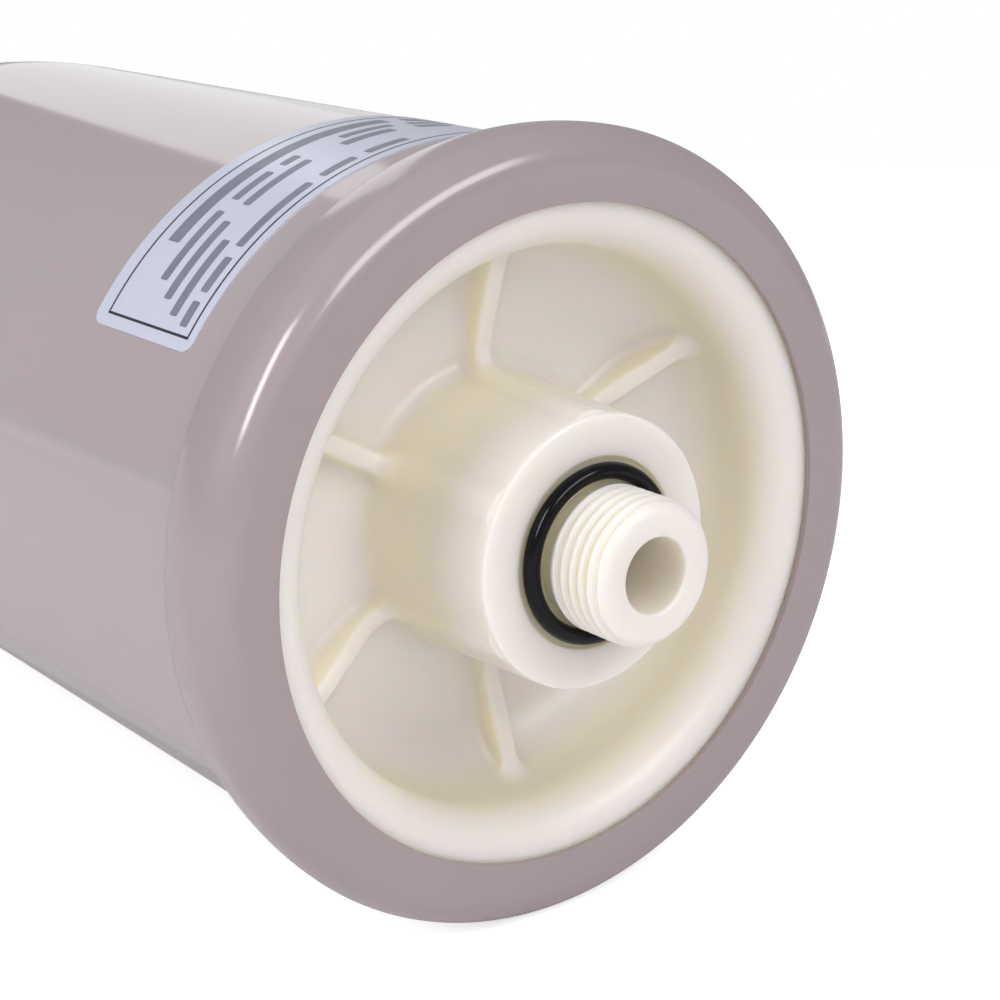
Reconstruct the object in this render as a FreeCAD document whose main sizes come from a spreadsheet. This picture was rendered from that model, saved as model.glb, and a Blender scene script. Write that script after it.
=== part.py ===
import FreeCAD, Part
import os
import re
import Sketcher

# A small water accumulator: a painted steel shell, crimped to a moulded port flange by a
# clamp ring, with a rubber bladder inside and a capped gas valve at the far end.
# The axis of the tank is X. The origin is on the axis, at the inner end of the inlet thread,
# and +X points out of the nipple. Depths are measured back from the front face of the ring.

SIZES = {
    # nipple and hub
    "thread_start": 8.3,
    "thread_length": 9.2,
    "thread_r": 10.4775,
    "end_chamfer_length": 1.1,
    "end_chamfer_drop": 1.3,
    "bore_r": 5.35,
    "neck_drop": 1.1775,
    "neck_run_out": 0.7,
    "hub_rise": 6.1,
    "hub_draft": 1.2,
    "hub_edge_round": 0.5,
    "seal_groove_depth": 0.8,
    "seal_groove_width": 4.46,
    "seal_face_width": 5.9,
    "seal_neck_gap": 1.35,
    "seal_section_r": 1.2,
    # recess, ribs and rim of the port flange
    "wall_floor_depth": 20.6,
    "floor_fall": 0.8,
    "rim_width": 6.65,
    "recess_draft": 0.3,
    "recess_wall_thickness": 4.8,
    "rim_round": 6.4,
    "rim_set_back": 0.2,
    "hub_foot_round": 3.0,
    "floor_round": 10.0,
    "rib_count": 6,
    "rib_top_thickness": 3.0,
    "rib_side_draft": 0.3,
    "rib_wall_height": 7.3,
    "rib_hub_height": 1.4,
    "rib_foot_round": 3.0,
    "rib_sunk": 0.4,
    "rib_end_reach": 5.0,
    "rib_end_inset": 0.1,
    "rib_start_angle": 31.5,
    "seat_step": 0.6,
    "spigot_length": 4.1,
    "flange_floor_thickness": 4.2,
    "flange_back_round": 10.0,
    "inner_boss_wall": 4.15,
    "inner_boss_length": 3.0,
    # clamp ring
    "ring_sheet": 1.0,
    "ring_face_width": 10.25,
    "ring_swell": 1.3,
    "ring_corner": 5.2,
    "ring_rear_curve": 27.5,
    "ring_rear_round": 0.7,
    "ring_depth": 14.3,
    "ring_lip_gap": 0.2,
    "fit_gap": 0.2,
    # shell
    "shell_r": 54.3,
    "shell_wall": 1.2,
    "mouth_flare": 1.2,
    "barrel_length": 149.2,
    "knuckle_r": 215.0,
    "knuckle_angle": 7.75,
    "shoulder_r": 34.0,
    "shoulder_angle": 62.0,
    "valve_seat_r": 11.0,
    "valve_hole_gap": 0.3,
    # bladder
    "bladder_gap": 0.3,
    "bladder_wall": 2.0,
    "bladder_length": 92.0,
    "bladder_round": 24.0,
    "bead_thickness": 3.6,
    "bead_gap": 0.2,
    "button_r": 14.0,
    "button_thickness": 3.0,
    "button_round": 1.0,
    # label
    "label_front_depth": 24.0,
    "label_width": 26.6,
    "label_thickness": 0.15,
    "label_start_angle": 73.7,
    "label_sweep_angle": 73.9,
    "label_corner": 2.0,
    # gas valve, measured out from its seat on the shell
    "stem_r": 4.0,
    "stem_length": 18.0,
    "stem_wall": 1.3,
    "stem_head_r": 8.0,
    "stem_head_thickness": 2.0,
    "gasket_thickness": 1.5,
    "washer_r": 8.0,
    "washer_thickness": 1.0,
    "nut_across_flats": 12.0,
    "nut_height": 4.5,
    "nut_chamfer": 0.6,
    "thread_gap": 0.1,
    "cap_nut_gap": 0.8,
    "cap_wall": 1.7,
    "cap_top_thickness": 1.8,
    "cap_edge_round": 0.8,
    "flute_count": 16,
    "flute_width": 0.8,
    "flute_depth": 0.3,
    "flute_margin": 2.6,
    "cap_seal_thickness": 1.0,
    "cap_seal_gap": 0.2,
    "passage_r": 1.6,
    "chamber_start": 8.0,
    "core_gap": 0.1,
    "core_gasket_thickness": 1.4,
    "core_set_back": 1.2,
    "core_tube_start": 2.5,
    "core_tube_wall": 0.35,
    "core_shoulder": 1.5,
    "pin_r": 0.55,
    "pin_gap": 0.1,
    "pin_set_back": 0.6,
    "pin_collar_gap": 0.15,
    "pin_collar_start": 9.0,
    "pin_collar_thickness": 0.6,
    "pin_foot_thickness": 0.5,
    "seal_cup_thickness": 1.0,
    "seal_cup_gap": 0.2,
    "spring_wire_r": 0.12,
    "spring_turns": 5,
    "spring_pin_gap": 0.13,
}

doc = FreeCAD.newDocument("accumulator")
sheet = doc.addObject("Spreadsheet::Sheet", "Sizes")
for row, (word, size) in enumerate(SIZES.items(), start=1):
    sheet.set(f"A{row}", word)
    sheet.set(f"B{row}", str(size))
    sheet.setAlias(f"B{row}", word)
doc.recompute()

FUNCTIONS = ("sin", "cos", "tan", "sqrt", "min")
FULL_TURN = 360
NUT_SIDES = 6
X_AXIS = FreeCAD.Vector(1, 0, 0)
Y_AXIS = FreeCAD.Vector(0, 1, 0)
NEAR = 1e-4
pieces = []


def on_sheet(text):
    """The same formula with each size's word turned into its cell on the sheet."""
    def cell(match):
        word = match.group()
        return word if word in FUNCTIONS else "Sizes." + word
    return re.sub(r"[a-z][a-z_]*", cell, text)


def number(text):
    """The value of a formula in the words of the sheet."""
    result = sheet.evalExpression(on_sheet(text))
    return float(getattr(result, "Value", result))


def behind(depth):
    """The place on X of a depth behind the front face of the ring."""
    return f"(0 - thread_start - ({depth}))"


def finish(piece, label):
    """Names a finished piece and keeps it for the checks and the files."""
    piece.Label = label
    pieces.append(piece)
    return piece


def new_body(label):
    return finish(doc.addObject("PartDesign::Body", label), label)


def origin_plane(body, role):
    return next(item for item in body.Origin.OriginFeatures if item.Role == role)


def arc_through(start, end, radius):
    """An arc from start to end. It bulges to the left of that way if radius is positive."""
    middle = (start + end) / 2
    chord = end - start
    left = FreeCAD.Vector(-chord.y, chord.x, 0) / chord.Length
    size = abs(radius)
    sagitta = size - (size * size - chord.Length * chord.Length / 4) ** 0.5
    return Part.Arc(start, middle + left * sagitta * (1 if radius > 0 else -1), end)


def profile(body, name, corners, role="XY_Plane"):
    """A closed sketch on one of the body's planes.

    Each corner is two formulas, for its place along and away from the axis. A third formula
    makes the side that leads to the corner an arc of that radius, and a fourth entry of -1
    makes it bulge to the right.
    """
    sketch = body.newObject("Sketcher::SketchObject", name)
    sketch.AttachmentSupport = [(origin_plane(body, role), "")]
    sketch.MapMode = "FlatFace"
    places = [FreeCAD.Vector(number(corner[0]), number(corner[1]), 0) for corner in corners]
    ends = []
    for index, corner in enumerate(corners):
        start, end = places[index - 1], places[index]
        if len(corner) == 2:
            side = sketch.addGeometry(Part.LineSegment(start, end), False)
        else:
            bulge = corner[3] if len(corner) > 3 else 1
            side = sketch.addGeometry(arc_through(start, end, bulge * number(corner[2])), False)
        forward = sketch.getPoint(side, 2).distanceToPoint(end) < NEAR
        ends.append((side, 1, 2) if forward else (side, 2, 1))
    for index, (side, first, last) in enumerate(ends):
        before, _, joint = ends[index - 1]
        sketch.addConstraint(Sketcher.Constraint("Coincident", before, joint, side, first))
    for index, (side, first, last) in enumerate(ends):
        for way, value, text in (
            ("DistanceX", places[index].x, corners[index][0]),
            ("DistanceY", places[index].y, corners[index][1]),
        ):
            mark = sketch.addConstraint(Sketcher.Constraint(way, -1, 1, side, last, value))
            sketch.setExpression(f"Constraints[{mark}]", on_sheet(text))
        if len(corners[index]) > 2:
            radius = number(corners[index][2])
            mark = sketch.addConstraint(Sketcher.Constraint("Radius", side, radius))
            sketch.setExpression(f"Constraints[{mark}]", on_sheet(corners[index][2]))
    return sketch


def turn(body, name, corners, angle=None):
    """Turns a profile about X, all the way round or through the formula in angle."""
    sketch = profile(body, name + "_profile", corners)
    revolution = body.newObject("PartDesign::Revolution", name)
    revolution.Profile = sketch
    revolution.ReferenceAxis = (sketch, ["H_Axis"])
    revolution.Angle = FULL_TURN if angle is None else number(angle)
    if angle is not None:
        revolution.setExpression("Angle", on_sheet(angle))
    doc.recompute()
    return revolution


def turned(label, corners):
    body = new_body(label)
    turn(body, label + "_turned", corners)
    return body


def circle_edges(shape, spots):
    """The round edges about X at each spot, which is two formulas: place and radius."""
    names = []
    for place, radius in spots:
        for index, edge in enumerate(shape.Edges, start=1):
            curve = edge.Curve
            if not isinstance(curve, Part.Circle) or abs(curve.Center.y) + abs(curve.Center.z) > NEAR:
                continue
            if abs(curve.Center.x - number(place)) < NEAR and abs(curve.Radius - number(radius)) < NEAR:
                names.append(f"Edge{index}")
    return names


def fillet(body, name, radius, edges):
    """Rounds the named edges of the body's last feature."""
    base = body.Tip
    rounding = body.newObject("PartDesign::Fillet", name)
    rounding.Base = (base, edges)
    rounding.Radius = number(radius)
    rounding.setExpression("Radius", on_sheet(radius))
    doc.recompute()
    return rounding


def round_circles(body, name, radius, spots):
    return fillet(body, name, radius, circle_edges(body.Tip.Shape, spots))


def repeat_round(body, name, features, count):
    """Repeats features round X, as many times as the size named in count says."""
    pattern = body.newObject("PartDesign::PolarPattern", name)
    pattern.Originals = features
    pattern.Axis = (origin_plane(body, "X_Axis"), [""])
    pattern.Angle = FULL_TURN
    pattern.Occurrences = int(number(count))
    pattern.setExpression("Occurrences", on_sheet(count))
    body.Tip = pattern
    doc.recompute()


def place_on_axis(piece, place, axis=X_AXIS, angle=0):
    """Puts a piece at a place on X, turned about an axis."""
    piece.Placement = FreeCAD.Placement(
        FreeCAD.Vector(number(place), 0, 0), FreeCAD.Rotation(axis, angle)
    )
    piece.setExpression("Placement.Base.x", on_sheet(place))


# Radii and places that several pieces share, each worked out from the one it fits
NECK_R = "(thread_r - neck_drop)"
GROOVE_R = f"({NECK_R} + seal_groove_width)"
HUB_R = f"({GROOVE_R} + seal_face_width)"
HUB_FOOT_R = f"({HUB_R} + hub_draft)"
HUB_FACE = "(hub_rise - thread_start)"
GROOVE_FLOOR = f"({HUB_FACE} - seal_groove_depth)"
SHELL_INNER_R = "(shell_r - shell_wall)"
RIM_OUTER_R = "(shell_r + mouth_flare)"
RING_CREST_R = f"({RIM_OUTER_R} + fit_gap + ring_sheet + ring_swell)"
OPENING_R = f"({RING_CREST_R} - ring_face_width)"
RECESS_MOUTH_R = f"({OPENING_R} - rim_width)"
RECESS_WALL_R = f"({RECESS_MOUTH_R} - recess_draft)"
HUB_FLOOR_DEPTH = "(wall_floor_depth + floor_fall)"
MOUTH_BACK_DEPTH = "(ring_depth - ring_sheet)"
MOUTH_FRONT_DEPTH = f"({MOUTH_BACK_DEPTH} - shell_wall)"
RIM_BACK_DEPTH = f"({MOUTH_FRONT_DEPTH} - bead_thickness)"
MOUTH_BACK = behind(MOUTH_BACK_DEPTH)
MOUTH_FRONT = behind(MOUTH_FRONT_DEPTH)
RIM_BACK = behind(RIM_BACK_DEPTH)
BLADDER_R = f"({SHELL_INNER_R} - bladder_gap)"
BLADDER_INNER_R = f"({BLADDER_R} - bladder_wall)"
BLADDER_END = behind("ring_depth + bladder_length")

# The shell's far end is three arcs in a row: a slow one that starts the taper, the shoulder
# and the crown, which is centred on the axis. The valve's flat seat cuts off the crown.
BARREL_END = behind("barrel_length")
KNUCKLE_END = f"({BARREL_END} - knuckle_r * sin(knuckle_angle))"
KNUCKLE_END_R = "(shell_r - knuckle_r * (1 - cos(knuckle_angle)))"
SHOULDER_X = f"({BARREL_END} - (knuckle_r - shoulder_r) * sin(knuckle_angle))"
SHOULDER_R = "(shell_r - knuckle_r + (knuckle_r - shoulder_r) * cos(knuckle_angle))"
SHOULDER_END = f"({SHOULDER_X} - shoulder_r * sin(shoulder_angle))"
SHOULDER_END_R = f"({SHOULDER_R} + shoulder_r * cos(shoulder_angle))"
CROWN_R = f"({SHOULDER_END_R} / cos(shoulder_angle))"
CROWN_X = f"({SHOULDER_END} + {CROWN_R} * sin(shoulder_angle))"
SEAT_DISTANCE = f"sqrt({CROWN_R} * {CROWN_R} - valve_seat_r * valve_seat_r)"
VALVE_SEAT = f"({CROWN_X} - {SEAT_DISTANCE})"


def tank_shell():
    """The drawn steel can: flared mouth, straight barrel, closed end with a valve hole."""
    inner_crown_r = f"({CROWN_R} - shell_wall)"
    inner_seat = f"({SEAT_DISTANCE} - shell_wall)"
    turned("tank_shell", [
        (MOUTH_FRONT, SHELL_INNER_R),
        (MOUTH_FRONT, RIM_OUTER_R),
        (MOUTH_BACK, RIM_OUTER_R),
        (MOUTH_BACK, "shell_r"),
        (BARREL_END, "shell_r"),
        (KNUCKLE_END, KNUCKLE_END_R, "knuckle_r", -1),
        (SHOULDER_END, SHOULDER_END_R, "shoulder_r", -1),
        (VALVE_SEAT, "valve_seat_r", CROWN_R, -1),
        (VALVE_SEAT, "stem_r + valve_hole_gap"),
        (f"{VALVE_SEAT} + shell_wall", "stem_r + valve_hole_gap"),
        (
            f"{VALVE_SEAT} + shell_wall",
            f"sqrt({inner_crown_r} * {inner_crown_r} - {inner_seat} * {inner_seat})",
        ),
        (
            f"{SHOULDER_X} - (shoulder_r - shell_wall) * sin(shoulder_angle)",
            f"{SHOULDER_R} + (shoulder_r - shell_wall) * cos(shoulder_angle)",
            inner_crown_r,
        ),
        (
            f"{BARREL_END} - (knuckle_r - shell_wall) * sin(knuckle_angle)",
            "shell_r - knuckle_r + (knuckle_r - shell_wall) * cos(knuckle_angle)",
            "shoulder_r - shell_wall",
        ),
        (BARREL_END, SHELL_INNER_R, "knuckle_r - shell_wall"),
    ])


def ring_rear_r(depth, curve):
    """The ring's radius at a depth behind its crest, on an arc that shares the crest's centre."""
    fall = f"({depth} - ring_corner)"
    return f"({RING_CREST_R} - ring_rear_curve + sqrt({curve} * {curve} - {fall} * {fall}))"


def clamp_ring():
    """The crimped steel band: a flat front face, a rounded corner, a bowed side, a rear lip."""
    lip_r = "(shell_r + ring_lip_gap)"
    flat_end_r = f"({RING_CREST_R} - ring_corner)"
    rear_edge = (behind("ring_depth"), ring_rear_r("ring_depth", "ring_rear_curve"))
    inner_curve = "(ring_rear_curve - ring_sheet)"
    body = turned("clamp_ring", [
        (behind("0"), OPENING_R),
        (behind("0"), flat_end_r),
        (behind("ring_corner"), RING_CREST_R, "ring_corner", -1),
        (*rear_edge, "ring_rear_curve", -1),
        (behind("ring_depth"), lip_r),
        (MOUTH_BACK, lip_r),
        (MOUTH_BACK, ring_rear_r(MOUTH_BACK_DEPTH, inner_curve)),
        (behind("ring_corner"), f"{RING_CREST_R} - ring_sheet", inner_curve),
        (behind("ring_sheet"), flat_end_r, "ring_corner - ring_sheet"),
        (behind("ring_sheet"), OPENING_R),
    ])
    round_circles(body, "ring_rear_edge", "ring_rear_round", [rear_edge])


def port_flange():
    """The moulded end: rim, recess with ribs, hub with a seal groove, nipple and water bore."""
    end = "(thread_length + end_chamfer_length)"
    rim_top_depth = "(ring_sheet + rim_set_back)"
    rim_top = behind(rim_top_depth)
    seat_r = f"({OPENING_R} + seat_step)"
    spigot_end = behind(f"{RIM_BACK_DEPTH} + spigot_length")
    cup_r = f"({RECESS_WALL_R} + recess_wall_thickness)"
    boss_r = "(bore_r + inner_boss_wall)"
    floor_back = f"{HUB_FLOOR_DEPTH} + flange_floor_thickness"
    back_corner = (behind("wall_floor_depth + flange_floor_thickness"), cup_r)
    inner_end = behind(f"{floor_back} + inner_boss_length")
    body = turned("port_flange", [
        (end, "bore_r"),
        (end, "thread_r - end_chamfer_drop"),
        ("thread_length", "thread_r"),
        ("0", "thread_r"),
        ("0 - neck_run_out", NECK_R),
        (GROOVE_FLOOR, NECK_R),
        (GROOVE_FLOOR, GROOVE_R),
        (HUB_FACE, GROOVE_R),
        (HUB_FACE, HUB_R),
        (behind(HUB_FLOOR_DEPTH), HUB_FOOT_R),
        (behind("wall_floor_depth"), RECESS_WALL_R),
        (behind(f"{rim_top_depth} + rim_round"), RECESS_MOUTH_R),
        (rim_top, f"{RECESS_MOUTH_R} + rim_round", "rim_round"),
        (rim_top, seat_r),
        (behind("ring_sheet"), seat_r),
        (behind("ring_sheet"), RIM_OUTER_R),
        (RIM_BACK, RIM_OUTER_R),
        (RIM_BACK, BLADDER_INNER_R),
        (spigot_end, BLADDER_INNER_R),
        (spigot_end, cup_r),
        back_corner,
        (behind(floor_back), boss_r),
        (inner_end, boss_r),
        (inner_end, "bore_r"),
    ])
    round_circles(body, "rim_corner", "ring_corner - ring_sheet", [(behind("ring_sheet"), RIM_OUTER_R)])
    round_circles(body, "hub_edge", "hub_edge_round", [(HUB_FACE, HUB_R)])
    round_circles(body, "hub_foot", "hub_foot_round", [(behind(HUB_FLOOR_DEPTH), HUB_FOOT_R)])
    # the corner's rounding leaves a third of the floor's width to the foot of the hub
    floor_width = f"({RECESS_WALL_R} - {HUB_FOOT_R})"
    corner_round = f"min(floor_round; 2 / 3 * {floor_width})"
    round_circles(body, "floor_corner", corner_round, [(behind("wall_floor_depth"), RECESS_WALL_R)])
    round_circles(body, "back_corner", "flange_back_round", [back_corner])
    ribs(body)
    place_on_axis(body, "0", X_AXIS, number("rib_start_angle"))
    body.setExpression("Placement.Rotation.Angle", on_sheet("rib_start_angle"))


def rib_section(body, name, radius, floor_depth, height):
    """One end of a rib, across it at a radius: a drafted web on two rounded feet."""
    foot = f"({height} / rib_wall_height * rib_foot_round)"
    half_base = "(rib_top_thickness / 2 + rib_side_draft)"
    spread = f"({half_base} + {foot})"
    floor = behind(floor_depth)
    sketch = profile(body, name, [
        (f"{floor} + {height}", "0 - rib_top_thickness / 2"),
        (f"{floor} + {height}", "rib_top_thickness / 2"),
        (f"{floor} + {foot}", half_base),
        (floor, spread, foot, -1),
        (f"{floor} - rib_sunk", spread),
        (f"{floor} - rib_sunk", f"0 - {spread}"),
        (floor, f"0 - {spread}"),
        (f"{floor} + {foot}", f"0 - {half_base}", foot, -1),
    ], "XZ_Plane")
    sketch.AttachmentOffset = FreeCAD.Placement(
        FreeCAD.Vector(0, 0, -number(radius)), FreeCAD.Rotation()
    )
    sketch.setExpression("AttachmentOffset.Base.z", on_sheet(f"0 - ({radius})"))
    return sketch


def ribs(body):
    """Radial ribs over the floor of the recess. Each top slopes down from the wall to the hub,
    and curls up onto the hub at its end."""
    web = body.newObject("PartDesign::AdditiveLoft", "rib_web")
    at_hub = rib_section(body, "rib_at_hub", HUB_FOOT_R, HUB_FLOOR_DEPTH, "rib_hub_height")
    at_wall = rib_section(body, "rib_at_wall", RECESS_WALL_R, "wall_floor_depth", "rib_wall_height")
    web.Profile = at_hub
    web.Sections = [at_wall]
    doc.recompute()

    hub_top = f"({HUB_FLOOR_DEPTH} - rib_hub_height)"
    slope = f"(({hub_top} - wall_floor_depth + rib_wall_height) / ({RECESS_WALL_R} - {HUB_FOOT_R}))"
    root = f"sqrt(1 + {slope} * {slope})"
    hub_taper = f"(hub_draft / ({HUB_FLOOR_DEPTH} + hub_rise))"
    inner_r = f"({HUB_FOOT_R} - {hub_taper} * (rib_hub_height + rib_end_reach) - rib_sunk)"
    corner = f"({hub_top} + {slope} * ({HUB_FOOT_R} - {inner_r}))"
    outer_r = f"({inner_r} + rib_end_reach / {root})"
    sunk = behind(f"{HUB_FLOOR_DEPTH} + rib_sunk")
    sketch = profile(body, "rib_end_profile", [
        (behind(f"{corner} - {slope} * rib_end_reach / {root}"), outer_r),
        (behind(f"{corner} - rib_end_reach"), inner_r, f"rib_end_reach * ({root} - {slope})", -1),
        (behind(f"{corner} - rib_end_reach"), f"{inner_r} - rib_sunk"),
        (sunk, f"{inner_r} - rib_sunk"),
        (sunk, outer_r),
    ])
    thickness = "rib_top_thickness - 2 * rib_end_inset"
    end = body.newObject("PartDesign::Pad", "rib_end")
    end.Profile = sketch
    end.Midplane = True
    end.Length = number(thickness)
    end.setExpression("Length", on_sheet(thickness))
    doc.recompute()
    repeat_round(body, "rib_pattern", [web, end], "rib_count")


def port_o_ring():
    """The black face seal in the groove round the neck."""
    ring = doc.addObject("Part::Torus", "port_o_ring")
    ring.setExpression("Radius1", on_sheet(f"{NECK_R} + seal_neck_gap + seal_section_r"))
    ring.setExpression("Radius2", on_sheet("seal_section_r"))
    place_on_axis(ring, f"{GROOVE_FLOOR} + seal_section_r", Y_AXIS, 90)
    finish(ring, "port_o_ring")


def bladder():
    """The rubber bag: a bead in the clamp, a straight wall and a rounded end."""
    bead_r = f"({RIM_OUTER_R} - bead_gap)"
    body = turned("bladder", [
        (RIM_BACK, BLADDER_INNER_R),
        (RIM_BACK, bead_r),
        (MOUTH_FRONT, bead_r),
        (MOUTH_FRONT, BLADDER_R),
        (BLADDER_END, BLADDER_R),
        (BLADDER_END, "0"),
        (f"{BLADDER_END} + bladder_wall", "0"),
        (f"{BLADDER_END} + bladder_wall", BLADDER_INNER_R),
    ])
    round_circles(body, "bladder_outer_round", "bladder_round", [(BLADDER_END, BLADDER_R)])
    round_circles(
        body, "bladder_inner_round", "bladder_round - bladder_wall",
        [(f"{BLADDER_END} + bladder_wall", BLADDER_INNER_R)],
    )


def bladder_button():
    """The stiff disc bonded inside the end of the bladder, which closes the port when dry."""
    back = f"({BLADDER_END} + bladder_wall)"
    front = f"({back} + button_thickness)"
    body = turned("bladder_button", [(back, "0"), (front, "0"), (front, "button_r"), (back, "button_r")])
    round_circles(body, "button_edge", "button_round", [(front, "button_r")])


def data_label():
    """The sticker on the barrel: a thin sheet wrapped round part of it, with rounded corners."""
    body = new_body("data_label")
    back = behind("label_front_depth + label_width")
    front = behind("label_front_depth")
    outer = "shell_r + label_thickness"
    turn(body, "label_sheet", [
        (back, "shell_r"), (front, "shell_r"), (front, outer), (back, outer),
    ], "label_sweep_angle")
    corners = [
        f"Edge{index}"
        for index, edge in enumerate(body.Tip.Shape.Edges, start=1)
        if abs(edge.Length - number("label_thickness")) < NEAR
    ]
    fillet(body, "label_corners", "label_corner", corners)
    place_on_axis(body, "0", X_AXIS, number("label_start_angle"))
    body.setExpression("Placement.Rotation.Angle", on_sheet("label_start_angle"))


# The gas valve. Each of its turned pieces is drawn about its own origin, with distances out
# from the seat as negative places on X, and then put on the seat.
STEM_HEAD = "(shell_wall + gasket_thickness)"
CHAMBER_R = "(stem_r - stem_wall)"
HOLE_R = "(stem_r + thread_gap)"
CAP_START = "(washer_thickness + nut_height + cap_nut_gap)"
CAP_R = f"({HOLE_R} + cap_wall)"
CAP_SEAL_TOP = "(stem_length + cap_seal_thickness)"
CORE_TUBE_R = "(passage_r - core_gap)"
CORE_BORE_R = f"({CORE_TUBE_R} - core_tube_wall)"
CORE_SEAT = "(chamber_start + core_gasket_thickness)"
CORE_TOP_R = f"({CHAMBER_R} - core_gap)"
SEAL_CUP_R = "(passage_r - seal_cup_gap)"
PIN_SEAT = "(core_tube_start - seal_cup_thickness)"
SPRING_R = "(pin_r + spring_pin_gap + spring_wire_r)"


def out(distance):
    return f"(0 - ({distance}))"


def valve_piece(label, corners):
    """A turned piece of the valve. Its corners are distances out from the seat and radii."""
    body = turned(label, [(out(corner[0]), corner[1]) for corner in corners])
    place_on_axis(body, VALVE_SEAT)
    return body


def gas_valve_stem():
    """The valve's brass stem: a head inside the shell, a threaded shank and a stepped bore."""
    valve_piece("gas_valve_stem", [
        (f"0 - {STEM_HEAD} - stem_head_thickness", "passage_r"),
        ("chamber_start", "passage_r"),
        ("chamber_start", CHAMBER_R),
        ("stem_length", CHAMBER_R),
        ("stem_length", "stem_r"),
        (f"0 - {STEM_HEAD}", "stem_r"),
        (f"0 - {STEM_HEAD}", "stem_head_r"),
        (f"0 - {STEM_HEAD} - stem_head_thickness", "stem_head_r"),
    ])


def stem_gasket():
    valve_piece("stem_gasket", [
        (f"0 - {STEM_HEAD}", HOLE_R),
        ("0 - shell_wall", HOLE_R),
        ("0 - shell_wall", "stem_head_r"),
        (f"0 - {STEM_HEAD}", "stem_head_r"),
    ])


def stem_washer():
    valve_piece("stem_washer", [
        ("0", HOLE_R),
        ("washer_thickness", HOLE_R),
        ("washer_thickness", "washer_r"),
        ("0", "washer_r"),
    ])


def stem_nut():
    """The hexagon nut: a prism, its corners taken off by a chamfered disc, and a bore."""
    corner_r = f"nut_across_flats / 2 / cos({FULL_TURN} / 2 / {NUT_SIDES})"
    prism = doc.addObject("Part::Prism", "nut_prism")
    prism.Polygon = NUT_SIDES
    prism.setExpression("Circumradius", on_sheet(corner_r))
    prism.setExpression("Height", on_sheet("nut_height"))
    disc = doc.addObject("Part::Cylinder", "nut_disc")
    disc.setExpression("Radius", on_sheet(corner_r))
    disc.setExpression("Height", on_sheet("nut_height"))
    doc.recompute()
    rims = [
        index
        for index, edge in enumerate(disc.Shape.Edges, start=1)
        if isinstance(edge.Curve, Part.Circle)
    ]
    softened = doc.addObject("Part::Chamfer", "nut_chamfered_disc")
    softened.Base = disc
    softened.Edges = [(index, number("nut_chamfer"), number("nut_chamfer")) for index in rims]
    blank = doc.addObject("Part::Common", "nut_blank")
    blank.Base = prism
    blank.Tool = softened
    bore = doc.addObject("Part::Cylinder", "nut_bore")
    bore.setExpression("Radius", on_sheet(HOLE_R))
    bore.setExpression("Height", on_sheet("nut_height"))
    nut = doc.addObject("Part::Cut", "stem_nut")
    nut.Base = blank
    nut.Tool = bore
    place_on_axis(nut, f"{VALVE_SEAT} - washer_thickness", Y_AXIS, -90)
    finish(nut, "stem_nut")


def valve_cap():
    """The screwed cap over the valve, fluted for grip."""
    body = new_body("valve_cap")
    top = f"({CAP_SEAL_TOP} + cap_top_thickness)"
    turn(body, "cap_turned", [
        (out(CAP_START), HOLE_R),
        (out(CAP_SEAL_TOP), HOLE_R),
        (out(CAP_SEAL_TOP), "0"),
        (out(top), "0"),
        (out(top), CAP_R),
        (out(CAP_START), CAP_R),
    ])
    round_circles(body, "cap_edge", "cap_edge_round", [(out(top), CAP_R)])
    flute_start = out(f"{CAP_START} + flute_margin")
    flute_end = out(f"{top} - flute_margin")
    bottom = f"{CAP_R} - flute_depth"
    sketch = profile(body, "flute_profile", [
        (flute_start, bottom), (flute_start, f"{CAP_R} + flute_depth"),
        (flute_end, f"{CAP_R} + flute_depth"), (flute_end, bottom),
    ])
    flute = body.newObject("PartDesign::Pocket", "flute")
    flute.Profile = sketch
    flute.Midplane = True
    flute.Length = number("flute_width")
    flute.setExpression("Length", on_sheet("flute_width"))
    doc.recompute()
    repeat_round(body, "flute_pattern", [flute], "flute_count")
    place_on_axis(body, VALVE_SEAT)


def valve_cap_seal():
    valve_piece("valve_cap_seal", [
        ("stem_length", "0"),
        (CAP_SEAL_TOP, "0"),
        (CAP_SEAL_TOP, f"{HOLE_R} - cap_seal_gap"),
        ("stem_length", f"{HOLE_R} - cap_seal_gap"),
    ])


def valve_core_barrel():
    """The core's brass barrel: a wide screwed top and a thin tube down the stem's passage."""
    core_top = "stem_length - core_set_back"
    valve_piece("valve_core_barrel", [
        ("core_tube_start", "pin_r + pin_gap"),
        ("core_tube_start + core_shoulder", "pin_r + pin_gap"),
        ("core_tube_start + core_shoulder", CORE_BORE_R),
        (core_top, CORE_BORE_R),
        (core_top, CORE_TOP_R),
        (CORE_SEAT, CORE_TOP_R),
        (CORE_SEAT, CORE_TUBE_R),
        ("core_tube_start", CORE_TUBE_R),
    ])


def valve_core_gasket():
    valve_piece("valve_core_gasket", [
        ("chamber_start", CORE_TUBE_R),
        (CORE_SEAT, CORE_TUBE_R),
        (CORE_SEAT, CORE_TOP_R),
        ("chamber_start", CORE_TOP_R),
    ])


def valve_core_pin():
    """The core's pin, with a collar for the spring and a foot under the seal cup."""
    pin_tip = "stem_length - pin_set_back"
    collar_top = "pin_collar_start + pin_collar_thickness"
    collar_r = f"{CORE_BORE_R} - pin_collar_gap"
    valve_piece("valve_core_pin", [
        (f"{PIN_SEAT} - pin_foot_thickness", "0"),
        (pin_tip, "0"),
        (pin_tip, "pin_r"),
        (collar_top, "pin_r"),
        (collar_top, collar_r),
        ("pin_collar_start", collar_r),
        ("pin_collar_start", "pin_r"),
        (PIN_SEAT, "pin_r"),
        (PIN_SEAT, SEAL_CUP_R),
        (f"{PIN_SEAT} - pin_foot_thickness", SEAL_CUP_R),
    ])


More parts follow.
